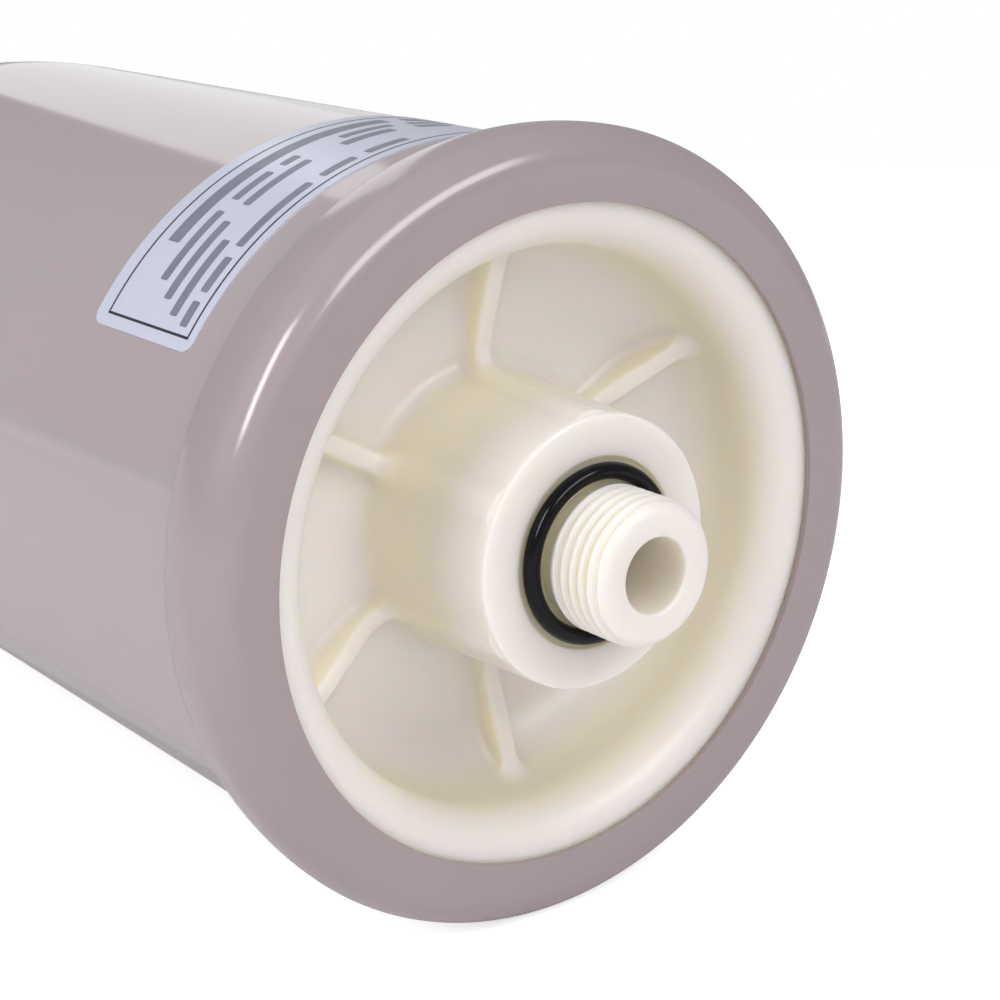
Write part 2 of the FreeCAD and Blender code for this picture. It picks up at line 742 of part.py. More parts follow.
def valve_core_seal():
    valve_piece("valve_core_seal", [
        (PIN_SEAT, "pin_r"),
        ("core_tube_start", "pin_r"),
        ("core_tube_start", SEAL_CUP_R),
        (PIN_SEAT, SEAL_CUP_R),
    ])


def valve_core_spring():
    """The core's coil spring, from the shoulder of the barrel to the collar of the pin."""
    height = "(pin_collar_start - core_tube_start - core_shoulder - 2 * spring_wire_r)"
    coil = doc.addObject("Part::Helix", "spring_coil")
    coil.setExpression("Radius", on_sheet(SPRING_R))
    coil.setExpression("Height", on_sheet(height))
    coil.setExpression("Pitch", on_sheet(f"{height} / spring_turns"))
    wire = doc.addObject("Part::Circle", "spring_wire")
    wire.setExpression("Radius", on_sheet("spring_wire_r"))
    place_on_axis(wire, SPRING_R, X_AXIS, 90)
    spring = doc.addObject("Part::Sweep", "valve_core_spring")
    spring.Sections = [wire]
    spring.Spine = (coil, ["Edge1"])
    spring.Solid = True
    spring.Frenet = True
    place_on_axis(
        spring, f"{VALVE_SEAT} - core_tube_start - core_shoulder - spring_wire_r", Y_AXIS, -90
    )
    finish(spring, "valve_core_spring")


def check():
    """Stops if any object failed, or any piece is not one or more valid solids."""
    doc.recompute()
    for item in doc.Objects:
        if any(state in ("Invalid", "Error") for state in item.State):
            raise RuntimeError(f"{item.Name} failed: {item.State}")
    for piece in pieces:
        shape = piece.Shape
        if shape.isNull() or not shape.isValid() or not shape.Solids:
            raise RuntimeError(f"{piece.Label} has no valid shape")


def main():
    tank_shell()
    clamp_ring()
    port_flange()
    port_o_ring()
    bladder()
    bladder_button()
    data_label()
    gas_valve_stem()
    stem_gasket()
    stem_washer()
    stem_nut()
    valve_cap()
    valve_cap_seal()
    valve_core_barrel()
    valve_core_gasket()
    valve_core_pin()
    valve_core_seal()
    valve_core_spring()
    check()
    os.makedirs("parts", exist_ok=True)
    for piece in pieces:
        piece.Shape.exportStep(f"parts/{piece.Label}.step")
        print(f"{piece.Label}: {len(piece.Shape.Solids)} solid, {piece.Shape.Volume:.1f} mm3")


main()
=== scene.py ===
"""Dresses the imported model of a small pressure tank: painted shell and ring, cream flange, label.

Lengths in this file are millimetres and angles are degrees. They become metres and radians
only where a mesh, a lamp or the camera is made. A place along the tank is either x, measured
in the model's own frame, or a depth, measured back from the front face of the clamp ring.
An angle round the tank starts at +Y and turns towards +Z.
"""
import logging
import math
from dataclasses import dataclass, field
from enum import Enum
from typing import Sequence

import bpy
import numpy as np
from mathutils import Matrix, Vector


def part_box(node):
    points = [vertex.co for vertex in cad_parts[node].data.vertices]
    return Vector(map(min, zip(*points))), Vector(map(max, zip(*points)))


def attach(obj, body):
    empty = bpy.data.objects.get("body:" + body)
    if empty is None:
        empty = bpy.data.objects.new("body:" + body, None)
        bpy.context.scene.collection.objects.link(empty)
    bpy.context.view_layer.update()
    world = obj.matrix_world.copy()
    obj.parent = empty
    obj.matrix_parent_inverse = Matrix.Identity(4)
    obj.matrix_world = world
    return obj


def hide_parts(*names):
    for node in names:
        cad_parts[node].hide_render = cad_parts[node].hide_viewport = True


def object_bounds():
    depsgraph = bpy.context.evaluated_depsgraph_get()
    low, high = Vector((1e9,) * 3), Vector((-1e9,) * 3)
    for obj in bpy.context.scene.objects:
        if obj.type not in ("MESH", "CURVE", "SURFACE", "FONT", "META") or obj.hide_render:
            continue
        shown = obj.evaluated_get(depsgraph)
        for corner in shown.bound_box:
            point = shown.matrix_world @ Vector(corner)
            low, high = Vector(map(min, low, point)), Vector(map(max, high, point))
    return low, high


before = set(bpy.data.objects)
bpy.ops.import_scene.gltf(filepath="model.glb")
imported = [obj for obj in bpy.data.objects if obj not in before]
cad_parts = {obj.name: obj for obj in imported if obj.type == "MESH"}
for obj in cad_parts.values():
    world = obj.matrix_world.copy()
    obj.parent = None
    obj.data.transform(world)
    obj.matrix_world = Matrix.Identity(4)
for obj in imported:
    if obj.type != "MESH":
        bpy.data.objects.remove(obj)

CAD_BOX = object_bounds()
MM = 0.001
FULL_TURN = 360.0
BODY = "root"
DRIFT_ENDS = (0.35, 0.65)
RING_WANDER = 1.5
LOG = logging.getLogger("tank")


class Slot(Enum):
    """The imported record's material slots that the new pieces belong to."""

    SHELL = "shell_paint"
    RING = "ring_paint"
    PORT = "port_plastic"
    SEAL = "seal_rubber"
    LABEL = "label_film"


class Grain(Enum):
    """What makes the fine relief of a finish: cloudy noise, fine dimples or turned rings."""

    CLOUD = "cloud"
    DIMPLE = "dimple"
    TURNED = "turned"


@dataclass(frozen=True)
class Finish:
    """One procedural finish.

    Args:
        name: the material's name.
        colour: the main linear colour.
        shade: the linear colour that the main one drifts to.
        drift_size: how wide the drifts of colour are.
        roughness: the surface's roughness, and how far it strays from that.
        grain: the kind of relief, with its size and height.
        metallic: 1 for bare metal and 0 for the rest.
        ior: the index of refraction, which sets how strong the gloss is.
        subsurface: the share of light that scatters under the surface, and how far by colour.
        specks: how large the scattered dust specks are beside their spacing, speck_size.
        painted_shade_colour: the linear colour of painted shade in hollows and on shaded walls, if
            painted_shade_reach is more than 0.
        painted_shade_air: the shares of open air at which a hollow begins and ends to take the
            painted shade.
        painted_shade_lean: how far a wall faces the front where it begins and ends to take the
            painted shade.
        painted_shade_steep: the places on X where steep walls begin and end to take the painted
            shade, and how much.
    """

    name: str
    colour: tuple[float, float, float]
    shade: tuple[float, float, float]
    drift_size: float = 30.0
    roughness: tuple[float, float] = (0.4, 0.05)
    grain: Grain = Grain.CLOUD
    grain_size: float = 1.0
    grain_height: float = 0.01
    metallic: float = 0.0
    ior: float = 1.5
    subsurface: float = 0.0
    subsurface_reach: tuple[float, float, float] = (3.0, 2.4, 1.4)
    specks: float = 0.0
    speck_colour: tuple[float, float, float] = (0.2, 0.17, 0.12)
    speck_size: float = 6.0
    # Painted shade: an olive colour painted into hollows and onto steep walls, where shade falls.
    painted_shade_colour: tuple[float, float, float] = (0.5, 0.5, 0.5)
    painted_shade_reach: float = 0.0
    painted_shade_rays: int = 4
    painted_shade_air: tuple[float, float] = (0.75, 0.25)
    painted_shade_lean: tuple[float, float] = (0.85, 0.15)
    painted_shade_steep: tuple[float, float, float] = (-6.0, -18.0, 0.6)

    def material(self) -> bpy.types.Material:
        """Builds the node tree.

        Returns:
            The new material.
        """
        material = bpy.data.materials.new(self.name)
        material.use_nodes = True
        tree = material.node_tree
        shader = tree.nodes["Principled BSDF"]
        shader.inputs["Metallic"].default_value = self.metallic
        shader.inputs["IOR"].default_value = self.ior
        if self.subsurface:
            shader.inputs["Subsurface Weight"].default_value = self.subsurface
            shader.inputs["Subsurface Radius"].default_value = self.subsurface_reach
            shader.inputs["Subsurface Scale"].default_value = MM
        place = tree.nodes.new("ShaderNodeTexCoord").outputs["Object"]
        drift = self._noise(tree, place, self.drift_size, 3.0)
        colour = self._mix(tree, drift, self.colour, self.shade)
        # Painted shade in hollows and on steep walls, when the finish asks for it.
        if self.painted_shade_reach:
            colour = self._painted_shade(tree, colour)
        if self.specks:
            colour = self._specks(tree, place, colour)
        tree.links.new(colour, shader.inputs["Base Color"])
        base, stray = self.roughness
        spread = tree.nodes.new("ShaderNodeMapRange")
        spread.inputs["To Min"].default_value = max(base - stray, 0.0)
        spread.inputs["To Max"].default_value = base + stray
        tree.links.new(self._noise(tree, place, self.drift_size / 3, 2.0), spread.inputs["Value"])
        tree.links.new(spread.outputs["Result"], shader.inputs["Roughness"])
        bump = tree.nodes.new("ShaderNodeBump")
        bump.inputs["Distance"].default_value = self.grain_height * MM
        bump.inputs["Strength"].default_value = 1.0
        tree.links.new(self._relief(tree, place), bump.inputs["Height"])
        tree.links.new(bump.outputs["Normal"], shader.inputs["Normal"])
        return material

    def _noise(self, tree: bpy.types.NodeTree, place: bpy.types.NodeSocket, size: float,
               detail: float) -> bpy.types.NodeSocket:
        """Adds a noise texture.

        Args:
            tree: the material's node tree.
            place: the socket with the place on the object.
            size: about how wide its blotches are.
            detail: how many finer layers it has.

        Returns:
            The socket with its value.
        """
        noise = tree.nodes.new("ShaderNodeTexNoise")
        noise.inputs["Scale"].default_value = 1.0 / (size * MM)
        noise.inputs["Detail"].default_value = detail
        tree.links.new(place, noise.inputs["Vector"])
        return noise.outputs["Fac"]

    def _mix(self, tree: bpy.types.NodeTree, factor: bpy.types.NodeSocket,
             first: Sequence[float], second: Sequence[float]) -> bpy.types.NodeSocket:
        """Adds a ramp between two colours.

        Args:
            tree: the material's node tree.
            factor: the socket with the place on the ramp.
            first: the linear colour at its start.
            second: the linear colour at its end.

        Returns:
            The socket with the colour.
        """
        ramp = tree.nodes.new("ShaderNodeValToRGB")
        for element, place, colour in zip(ramp.color_ramp.elements, DRIFT_ENDS, (first, second)):
            element.position = place
            element.color = (*colour, 1.0)
        tree.links.new(factor, ramp.inputs["Fac"])
        return ramp.outputs["Color"]

    def _specks(self, tree: bpy.types.NodeTree, place: bpy.types.NodeSocket,
                colour: bpy.types.NodeSocket) -> bpy.types.NodeSocket:
        """Scatters a few dust specks over a colour.

        Args:
            tree: the material's node tree.
            place: the socket with the place on the object.
            colour: the socket with the colour between them.

        Returns:
            The socket with the specked colour.
        """
        cells = tree.nodes.new("ShaderNodeTexVoronoi")
        cells.inputs["Scale"].default_value = 1.0 / (self.speck_size * MM)
        tree.links.new(place, cells.inputs["Vector"])
        near = tree.nodes.new("ShaderNodeMath")
        near.operation = "LESS_THAN"
        near.inputs[1].default_value = self.specks
        tree.links.new(cells.outputs["Distance"], near.inputs[0])
        blend = tree.nodes.new("ShaderNodeMix")
        blend.data_type = "RGBA"
        tree.links.new(near.outputs[0], blend.inputs["Factor"])
        tree.links.new(colour, blend.inputs["A"])
        blend.inputs["B"].default_value = (*self.speck_colour, 1.0)
        return blend.outputs["Result"]

    def _painted_shade(self, tree: bpy.types.NodeTree,
                 colour: bpy.types.NodeSocket) -> bpy.types.NodeSocket:
        """Paints shade into a colour: turns it towards the painted shade colour where little of
        the open air is in reach, and on walls that run along the axis behind the front.

        Args:
            tree: the material's node tree.
            colour: the socket with the colour in the open.

        Returns:
            The socket with the turned colour.
        """
        # Painted shade: where open air is out of reach, the colour turns to the painted shade
        # colour.
        reach = tree.nodes.new("ShaderNodeAmbientOcclusion")
        reach.samples = self.painted_shade_rays
        reach.inputs["Distance"].default_value = self.painted_shade_reach * MM
        hollow_shade = self._ramp(tree, reach.outputs["AO"], self.painted_shade_air)
        texture = tree.nodes.new("ShaderNodeTexCoord")
        lean = tree.nodes.new("ShaderNodeSeparateXYZ")
        tree.links.new(texture.outputs["Normal"], lean.inputs["Vector"])
        place = tree.nodes.new("ShaderNodeSeparateXYZ")
        tree.links.new(texture.outputs["Object"], place.inputs["Vector"])
        # Painted shade on walls that face sideways behind the front, such as the ribs' shaded
        # sides.
        wall = tree.nodes.new("ShaderNodeMath")
        wall.operation = "MULTIPLY"
        first, last, most = self.painted_shade_steep
        depth = self._ramp(tree, place.outputs["X"], (first * MM, last * MM), most)
        tree.links.new(self._ramp(tree, lean.outputs["X"], self.painted_shade_lean), wall.inputs[0])
        tree.links.new(depth, wall.inputs[1])
        shade_share = tree.nodes.new("ShaderNodeMath")
        shade_share.operation = "MAXIMUM"
        tree.links.new(hollow_shade, shade_share.inputs[0])
        tree.links.new(wall.outputs[0], shade_share.inputs[1])
        blend = tree.nodes.new("ShaderNodeMix")
        blend.data_type = "RGBA"
        tree.links.new(shade_share.outputs[0], blend.inputs["Factor"])
        tree.links.new(colour, blend.inputs["A"])
        blend.inputs["B"].default_value = (*self.painted_shade_colour, 1.0)
        return blend.outputs["Result"]

    def _ramp(self, tree: bpy.types.NodeTree, value: bpy.types.NodeSocket,
              ends: tuple[float, float], most: float = 1.0) -> bpy.types.NodeSocket:
        """Adds a smooth rise.

        Args:
            tree: the material's node tree.
            value: the socket with the value that it follows.
            ends: the values at which it starts and ends.
            most: what it reaches, from 0 at the first end.

        Returns:
            The socket with its result.
        """
        ramp = tree.nodes.new("ShaderNodeMapRange")
        ramp.interpolation_type = "SMOOTHSTEP"
        ramp.inputs["From Min"].default_value, ramp.inputs["From Max"].default_value = ends
        ramp.inputs["To Max"].default_value = most
        tree.links.new(value, ramp.inputs["Value"])
        return ramp.outputs["Result"]

    def _relief(self, tree: bpy.types.NodeTree,
                place: bpy.types.NodeSocket) -> bpy.types.NodeSocket:
        """Adds the height texture that the grain calls for.

        Args:
            tree: the material's node tree.
            place: the socket with the place on the object.

        Returns:
            The socket with the height.
        """
        if self.grain is Grain.CLOUD:
            return self._noise(tree, place, self.grain_size, 1.0)
        if self.grain is Grain.DIMPLE:
            cells = tree.nodes.new("ShaderNodeTexVoronoi")
            cells.feature = "SMOOTH_F1"
            cells.inputs["Scale"].default_value = 1.0 / (self.grain_size * MM)
            tree.links.new(place, cells.inputs["Vector"])
            return cells.outputs["Distance"]
        wave = tree.nodes.new("ShaderNodeTexWave")
        wave.bands_direction = "X"
        wave.inputs["Scale"].default_value = 1.0 / (self.grain_size * MM)
        wave.inputs["Distortion"].default_value = RING_WANDER
        tree.links.new(place, wave.inputs["Vector"])
        return wave.outputs["Fac"]


PAINT = Finish(
    "gloss_paint", (0.378, 0.320, 0.332), (0.368, 0.311, 0.323), drift_size=60.0,
    roughness=(0.10, 0.02), grain_size=2.2, grain_height=0.003, ior=1.6,
)
# Painted shade: the shell's paint made darker for the ring, whose face takes less light than the
# barrel.
SHADED_RING_PAINT = Finish(
    "shaded_ring_gloss_paint", (0.340, 0.277, 0.291), (0.330, 0.268, 0.282), drift_size=40.0,
    roughness=(0.17, 0.02), grain_size=2.0, grain_height=0.003, ior=1.5,
)
CREAM = Finish(
    "cream_plastic", (0.79, 0.738, 0.715), (0.78, 0.728, 0.70), drift_size=18.0,
    roughness=(0.40, 0.05), grain=Grain.CLOUD, grain_size=0.8, grain_height=0.010, ior=1.5,
    subsurface=0.9, subsurface_reach=(5.0, 4.6, 3.0), specks=0.02,
    speck_colour=(0.66, 0.62, 0.5), speck_size=9.0,
    # Painted olive shade in the recess's hollows and on its steep walls.
    painted_shade_colour=(0.80, 0.75, 0.54), painted_shade_reach=10.0,
)
RUBBER = Finish(
    "black_rubber", (0.003, 0.003, 0.005), (0.005, 0.005, 0.008), drift_size=4.0,
    roughness=(0.16, 0.03), grain_size=0.3, grain_height=0.003, ior=1.27,
)
LABEL_FILM = Finish(
    "silver_film", (0.55, 0.575, 0.70), (0.58, 0.60, 0.72), drift_size=25.0,
    roughness=(0.3, 0.04), grain_size=3.0, grain_height=0.004, metallic=0.15,
)
INK = Finish(
    "dark_ink", (0.016, 0.018, 0.03), (0.022, 0.024, 0.036), drift_size=3.0,
    roughness=(0.35, 0.05), grain_size=0.5, grain_height=0.001,
)
PRINT = Finish(
    "print_grey", (0.17, 0.175, 0.23), (0.19, 0.195, 0.25), drift_size=3.0,
    roughness=(0.35, 0.05), grain_size=0.5, grain_height=0.001,
)
BLADDER_RUBBER = Finish(
    "bladder_rubber", (0.022, 0.021, 0.021), (0.035, 0.033, 0.032), drift_size=12.0,
    roughness=(0.62, 0.08), grain=Grain.DIMPLE, grain_size=1.6, grain_height=0.03,
)
BUTTON_PLASTIC = Finish(
    "natural_plastic", (0.74, 0.73, 0.69), (0.70, 0.69, 0.64), drift_size=8.0,
    roughness=(0.45, 0.05), grain_size=0.9, grain_height=0.01, subsurface=0.2,
)
BRASS = Finish(
    "turned_brass", (0.74, 0.55, 0.26), (0.66, 0.48, 0.22), drift_size=3.0,
    roughness=(0.28, 0.06), grain=Grain.TURNED, grain_size=0.35, grain_height=0.006,
    metallic=1.0,
)
ZINC = Finish(
    "zinc_plate", (0.64, 0.64, 0.62), (0.54, 0.55, 0.53), drift_size=2.5,
    roughness=(0.32, 0.08), grain_size=0.5, grain_height=0.006, metallic=1.0,
)
CAP_PLASTIC = Finish(
    "black_plastic", (0.018, 0.018, 0.019), (0.024, 0.024, 0.025), drift_size=5.0,
    roughness=(0.38, 0.06), grain=Grain.DIMPLE, grain_size=0.5, grain_height=0.012,
)


@dataclass(frozen=True)
class Corner:
    """A corner of a turned outline, at x and radius r, with a rounding of so many steps."""

    x: float
    r: float
    round: float = 0.0
    steps: int = 5


def behind(depth: float) -> float:
    """The x of a depth behind the front face of the clamp ring."""
    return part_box("clamp_ring")[1][0] / MM - depth


def arc(x: float, r: float, radius: float, start: float, end: float,
        steps: int) -> list[Corner]:
    """Points along an arc of an outline.

    Args:
        x: the place of the arc's centre along the axis.
        r: the centre's radius about the axis.
        radius: the arc's own radius.
        start: the angle of the first point, from the +x way towards larger r.
        end: the angle of the last point.
        steps: how many chords make the arc.

    Returns:
        The points, both ends among them.
    """
    turns = [math.radians(start + (end - start) * i / steps) for i in range(steps + 1)]
    return [Corner(x + radius * math.cos(a), r + radius * math.sin(a)) for a in turns]


def rounded(corners: Sequence[Corner], closed: bool = True) -> np.ndarray:
    """Rounds the corners of an outline.

    Args:
        corners: the sharp outline.
        closed: whether the last corner leads back to the first.

    Returns:
        An array of (x, r) points. An open outline keeps its two ends sharp.
    """
    points = []
    for index, corner in enumerate(corners):
        here = np.array([corner.x, corner.r])
        if not corner.round or (not closed and index in (0, len(corners) - 1)):
            points.append(here)
            continue
        last, following = corners[index - 1], corners[(index + 1) % len(corners)]
        back = np.array([last.x, last.r]) - here
        ahead = np.array([following.x, following.r]) - here
        back /= np.linalg.norm(back)
        ahead /= np.linalg.norm(ahead)
        half = math.acos(np.clip(back @ ahead, -1, 1)) / 2
        middle = back + ahead
        centre = here + middle / np.linalg.norm(middle) * corner.round / math.sin(half)
        first = here + back * corner.round / math.tan(half) - centre
        last_arm = here + ahead * corner.round / math.tan(half) - centre
        turn = math.atan2(first[0] * last_arm[1] - first[1] * last_arm[0], first @ last_arm)
        for step in range(corner.steps + 1):
            angle = turn * step / corner.steps
            c, s = math.cos(angle), math.sin(angle)
            points.append(centre + np.array([c * first[0] - s * first[1],
                                             s * first[0] + c * first[1]]))
    return np.array(points)


def eased(start: float, end: float, count: int) -> np.ndarray:
    """Numbers from start to end that lie closer together towards both."""
    return start + (end - start) * (1 - np.cos(np.linspace(0, math.pi, count))) / 2


def spun(x: np.ndarray, r: np.ndarray, angle: np.ndarray) -> np.ndarray:
    """Places in metres from x, radius and angle, which broadcast together."""
    x, r, angle = np.broadcast_arrays(x, r, np.radians(angle))
    return np.stack([x, r * np.cos(angle), r * np.sin(angle)], axis=-1) * MM


def skin(name: str, grid: np.ndarray, close_rows: bool, close_columns: bool,
         crease: float = 32.0) -> bpy.types.Object:
    """Makes a smooth-shaded mesh object from a grid of places.

    Args:
        name: the object's name.
        grid: places in metres, rows by columns by 3.
        close_rows: whether the last row joins the first.
        close_columns: whether the last column joins the first.
        crease: the angle past which an edge stays sharp.

    Returns:
        The object, with rows on the axis drawn together and its faces turned outwards.
    """
    rows, columns = grid.shape[:2]
    index = np.arange(rows * columns).reshape(rows, columns)
    on_axis = np.all(np.hypot(grid[..., 1], grid[..., 2]) < 1e-7, axis=1)
    index[on_axis] = index[on_axis][:, :1]
    below = np.roll(index, -1, axis=0) if close_rows else index[1:]
    above = index if close_rows else index[:-1]
    if close_columns:
        beside_above, beside_below = np.roll(above, -1, axis=1), np.roll(below, -1, axis=1)
    else:
        beside_above, beside_below = above[:, 1:], below[:, 1:]
        above, below = above[:, :-1], below[:, :-1]
    quads = np.stack([above, beside_above, beside_below, below], axis=-1).reshape(-1, 4)
    faces = []
    for quad in quads.tolist():
        face = list(dict.fromkeys(quad))
        if len(face) > 2:
            faces.append(face)
    return shaped(name, grid.reshape(-1, 3), faces, crease)


def shaped(name: str, places: np.ndarray, faces: Sequence[Sequence[int]],
           crease: float = 32.0) -> bpy.types.Object:
    """Makes an object from places and faces, drops loose points and turns faces outwards.

    Args:
        name: the object's name.
        places: places in metres, one a row.
        faces: the indices of each face's corners.
        crease: the angle past which an edge stays sharp.

    Returns:
        The object.
    """
    used = sorted({corner for face in faces for corner in face})
    renamed = {old: new for new, old in enumerate(used)}
    mesh = bpy.data.meshes.new(name)
    mesh.from_pydata(places[used].tolist(), [], [[renamed[c] for c in face] for face in faces])
    mesh.update()
    points = np.empty(len(mesh.vertices) * 3)
    mesh.vertices.foreach_get("co", points)
    points = points.reshape(-1, 3)
    volume = sum(
        float(np.dot(points[face[0]], np.cross(points[face[i]], points[face[i + 1]])))
        for face in ([list(p.vertices) for p in mesh.polygons])
        for i in range(1, len(face) - 1)
    )
    if volume < 0:
        mesh.flip_normals()
    mesh.shade_smooth()
    mesh.set_sharp_from_angle(angle=math.radians(crease))
    thing = bpy.data.objects.new(name, mesh)
    bpy.context.scene.collection.objects.link(thing)
    return thing


def turned(name: str, outline: np.ndarray, columns: int = 320,
           crease: float = 32.0) -> bpy.types.Object:
    """Turns a closed outline about the tank's axis.

    Args:
        name: the object's name.
        outline: the (x, r) points.
        columns: how many steps make the round.
        crease: the angle past which an edge stays sharp.

    Returns:
        The object.
    """
    angles = np.arange(columns) * FULL_TURN / columns
    grid = spun(outline[:, :1], outline[:, 1:], angles[None, :])
    return skin(name, grid, close_rows=True, close_columns=True, crease=crease)


def dress(thing: bpy.types.Object, material: bpy.types.Material, slot: Slot,
          *nodes: str) -> bpy.types.Object:
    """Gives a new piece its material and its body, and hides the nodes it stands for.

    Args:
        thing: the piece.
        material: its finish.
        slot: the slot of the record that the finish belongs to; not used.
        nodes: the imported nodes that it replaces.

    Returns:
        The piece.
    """
    thing.data.materials.clear()
    thing.data.materials.append(material)
    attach(thing, BODY)
    if nodes:
        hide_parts(*nodes)
    LOG.info("%s: %d faces", thing.name, len(thing.data.polygons))
    return thing


@dataclass
class TankShell:
    """The drawn and painted steel can."""

    radius: float = 54.3
    wall: float = 1.2
    mouth_r: float = 55.5
    mouth_depth: float = 12.1
    mouth_round: float = 0.5
    barrel_depth: float = 149.2
    knuckle_r: float = 215.0
    knuckle_angle: float = 7.75
    shoulder_r: float = 34.0
    shoulder_angle: float = 62.0
    seat_r: float = 11.0
    hole_r: float = 4.3
    columns: int = 360

    def outline(self) -> np.ndarray:
        """The outline: the mouth, the barrel, three arcs to the valve's seat, and back inside.

        Returns:
            The (x, r) points.
        """
        barrel_end = behind(self.barrel_depth)
        knuckle, shoulder = math.radians(self.knuckle_angle), math.radians(self.shoulder_angle)
        knuckle_centre = self.radius - self.knuckle_r
        reach = self.knuckle_r - self.shoulder_r
        shoulder_x = barrel_end - reach * math.sin(knuckle)
        shoulder_centre = knuckle_centre + reach * math.cos(knuckle)
        crown_r = self.shoulder_r + shoulder_centre / math.cos(shoulder)
        crown_x = shoulder_x + (crown_r - self.shoulder_r) * math.sin(shoulder)
        seat_x = crown_x - math.sqrt(crown_r ** 2 - self.seat_r ** 2)
        mouth, back = behind(self.mouth_depth), behind(self.mouth_depth + self.wall)
        points = [
            Corner(mouth, self.radius - self.wall),
            Corner(mouth, self.mouth_r, self.mouth_round),
            Corner(back, self.mouth_r, self.mouth_round),
            Corner(back, self.radius, self.mouth_round),
        ]
        turn, lean = 90 + self.knuckle_angle, 90 + self.shoulder_angle
        for inset in (0.0, self.wall):
            seat = 180 - math.degrees(math.asin(self.seat_r / (crown_r - inset)))
            side = (
                arc(barrel_end, knuckle_centre, self.knuckle_r - inset, 90, turn, 8)
                + arc(shoulder_x, shoulder_centre, self.shoulder_r - inset, turn, lean, 28)[1:]
                + arc(crown_x, 0.0, crown_r - inset, lean, seat, 14)[1:]
            )
            rim = [Corner(seat_x + inset, self.hole_r)]
            points += side + rim if not inset else rim + side[::-1]
        return rounded(points)

    def build(self) -> None:
        """Turns the shell and paints it."""
        shell = turned("painted_shell", self.outline(), self.columns, crease=30.0)
        dress(shell, PAINT.material(), Slot.SHELL, "tank_shell")


@dataclass
class ClampRing:
    """The crimped steel band round the mouth of the tank, painted with the shell.

    Its colour is the shell's paint made darker, as painted shade for its face, which takes
    less light than the barrel.
    """

    opening_r: float = 47.75
    crest_r: float = 58.0
    length: float = 14.3
    sheet: float = 1.0
    corner: float = 5.2
    rear_curve: float = 27.5
    lip_r: float = 54.5
    edge_round: float = 0.12
    rear_round: float = 0.7

    def bow(self, inset: float, depth: float) -> list[Corner]:
        """The bowed side, from the crest back.

        Args:
            inset: how far inside the ring's outer face it runs.
            depth: how far back it goes.

        Returns:
            The points of its arc.
        """
        curve = self.rear_curve - inset
        lean = math.degrees(math.asin((depth - self.corner) / curve))
        return arc(behind(self.corner), self.crest_r - self.rear_curve, curve, 90, 90 + lean, 9)

    def build(self) -> None:
        """Turns the ring and paints it."""
        edge, bend = self.edge_round, self.crest_r - self.corner
        outside = self.bow(0.0, self.length)
        inside = self.bow(self.sheet, self.length - self.sheet)
        rear = Corner(outside[-1].x, outside[-1].r, self.rear_round, 7)
        outline = rounded(
            [Corner(behind(0), self.opening_r, edge)]
            + arc(behind(self.corner), bend, self.corner, 0, 90, 18)
            + outside[1:-1]
            + [rear, Corner(behind(self.length), self.lip_r, edge),
               Corner(behind(self.length - self.sheet), self.lip_r)]
            + inside[::-1]
            + arc(behind(self.corner), bend, self.corner - self.sheet, 90, 0, 8)[1:]
            + [Corner(behind(self.sheet), self.opening_r, edge)]
        )
        ring = turned("crimped_ring", outline, columns=384)
        # The ring's darker paint is painted shade.
        dress(ring, SHADED_RING_PAINT.material(), Slot.RING, "clamp_ring")


def soft_union(first: np.ndarray, second: np.ndarray, radius: float) -> np.ndarray:
    """Joins two distance fields of solids with a concave rounding."""
    return np.maximum(radius, np.minimum(first, second)) - np.hypot(
        np.maximum(radius - first, 0), np.maximum(radius - second, 0))


def soft_meet(first: np.ndarray, second: np.ndarray, radius: float) -> np.ndarray:
    """Keeps what two distance fields share, with a convex rounding."""
    return np.minimum(-radius, np.maximum(first, second)) + np.hypot(
        np.maximum(radius + first, 0), np.maximum(radius + second, 0))


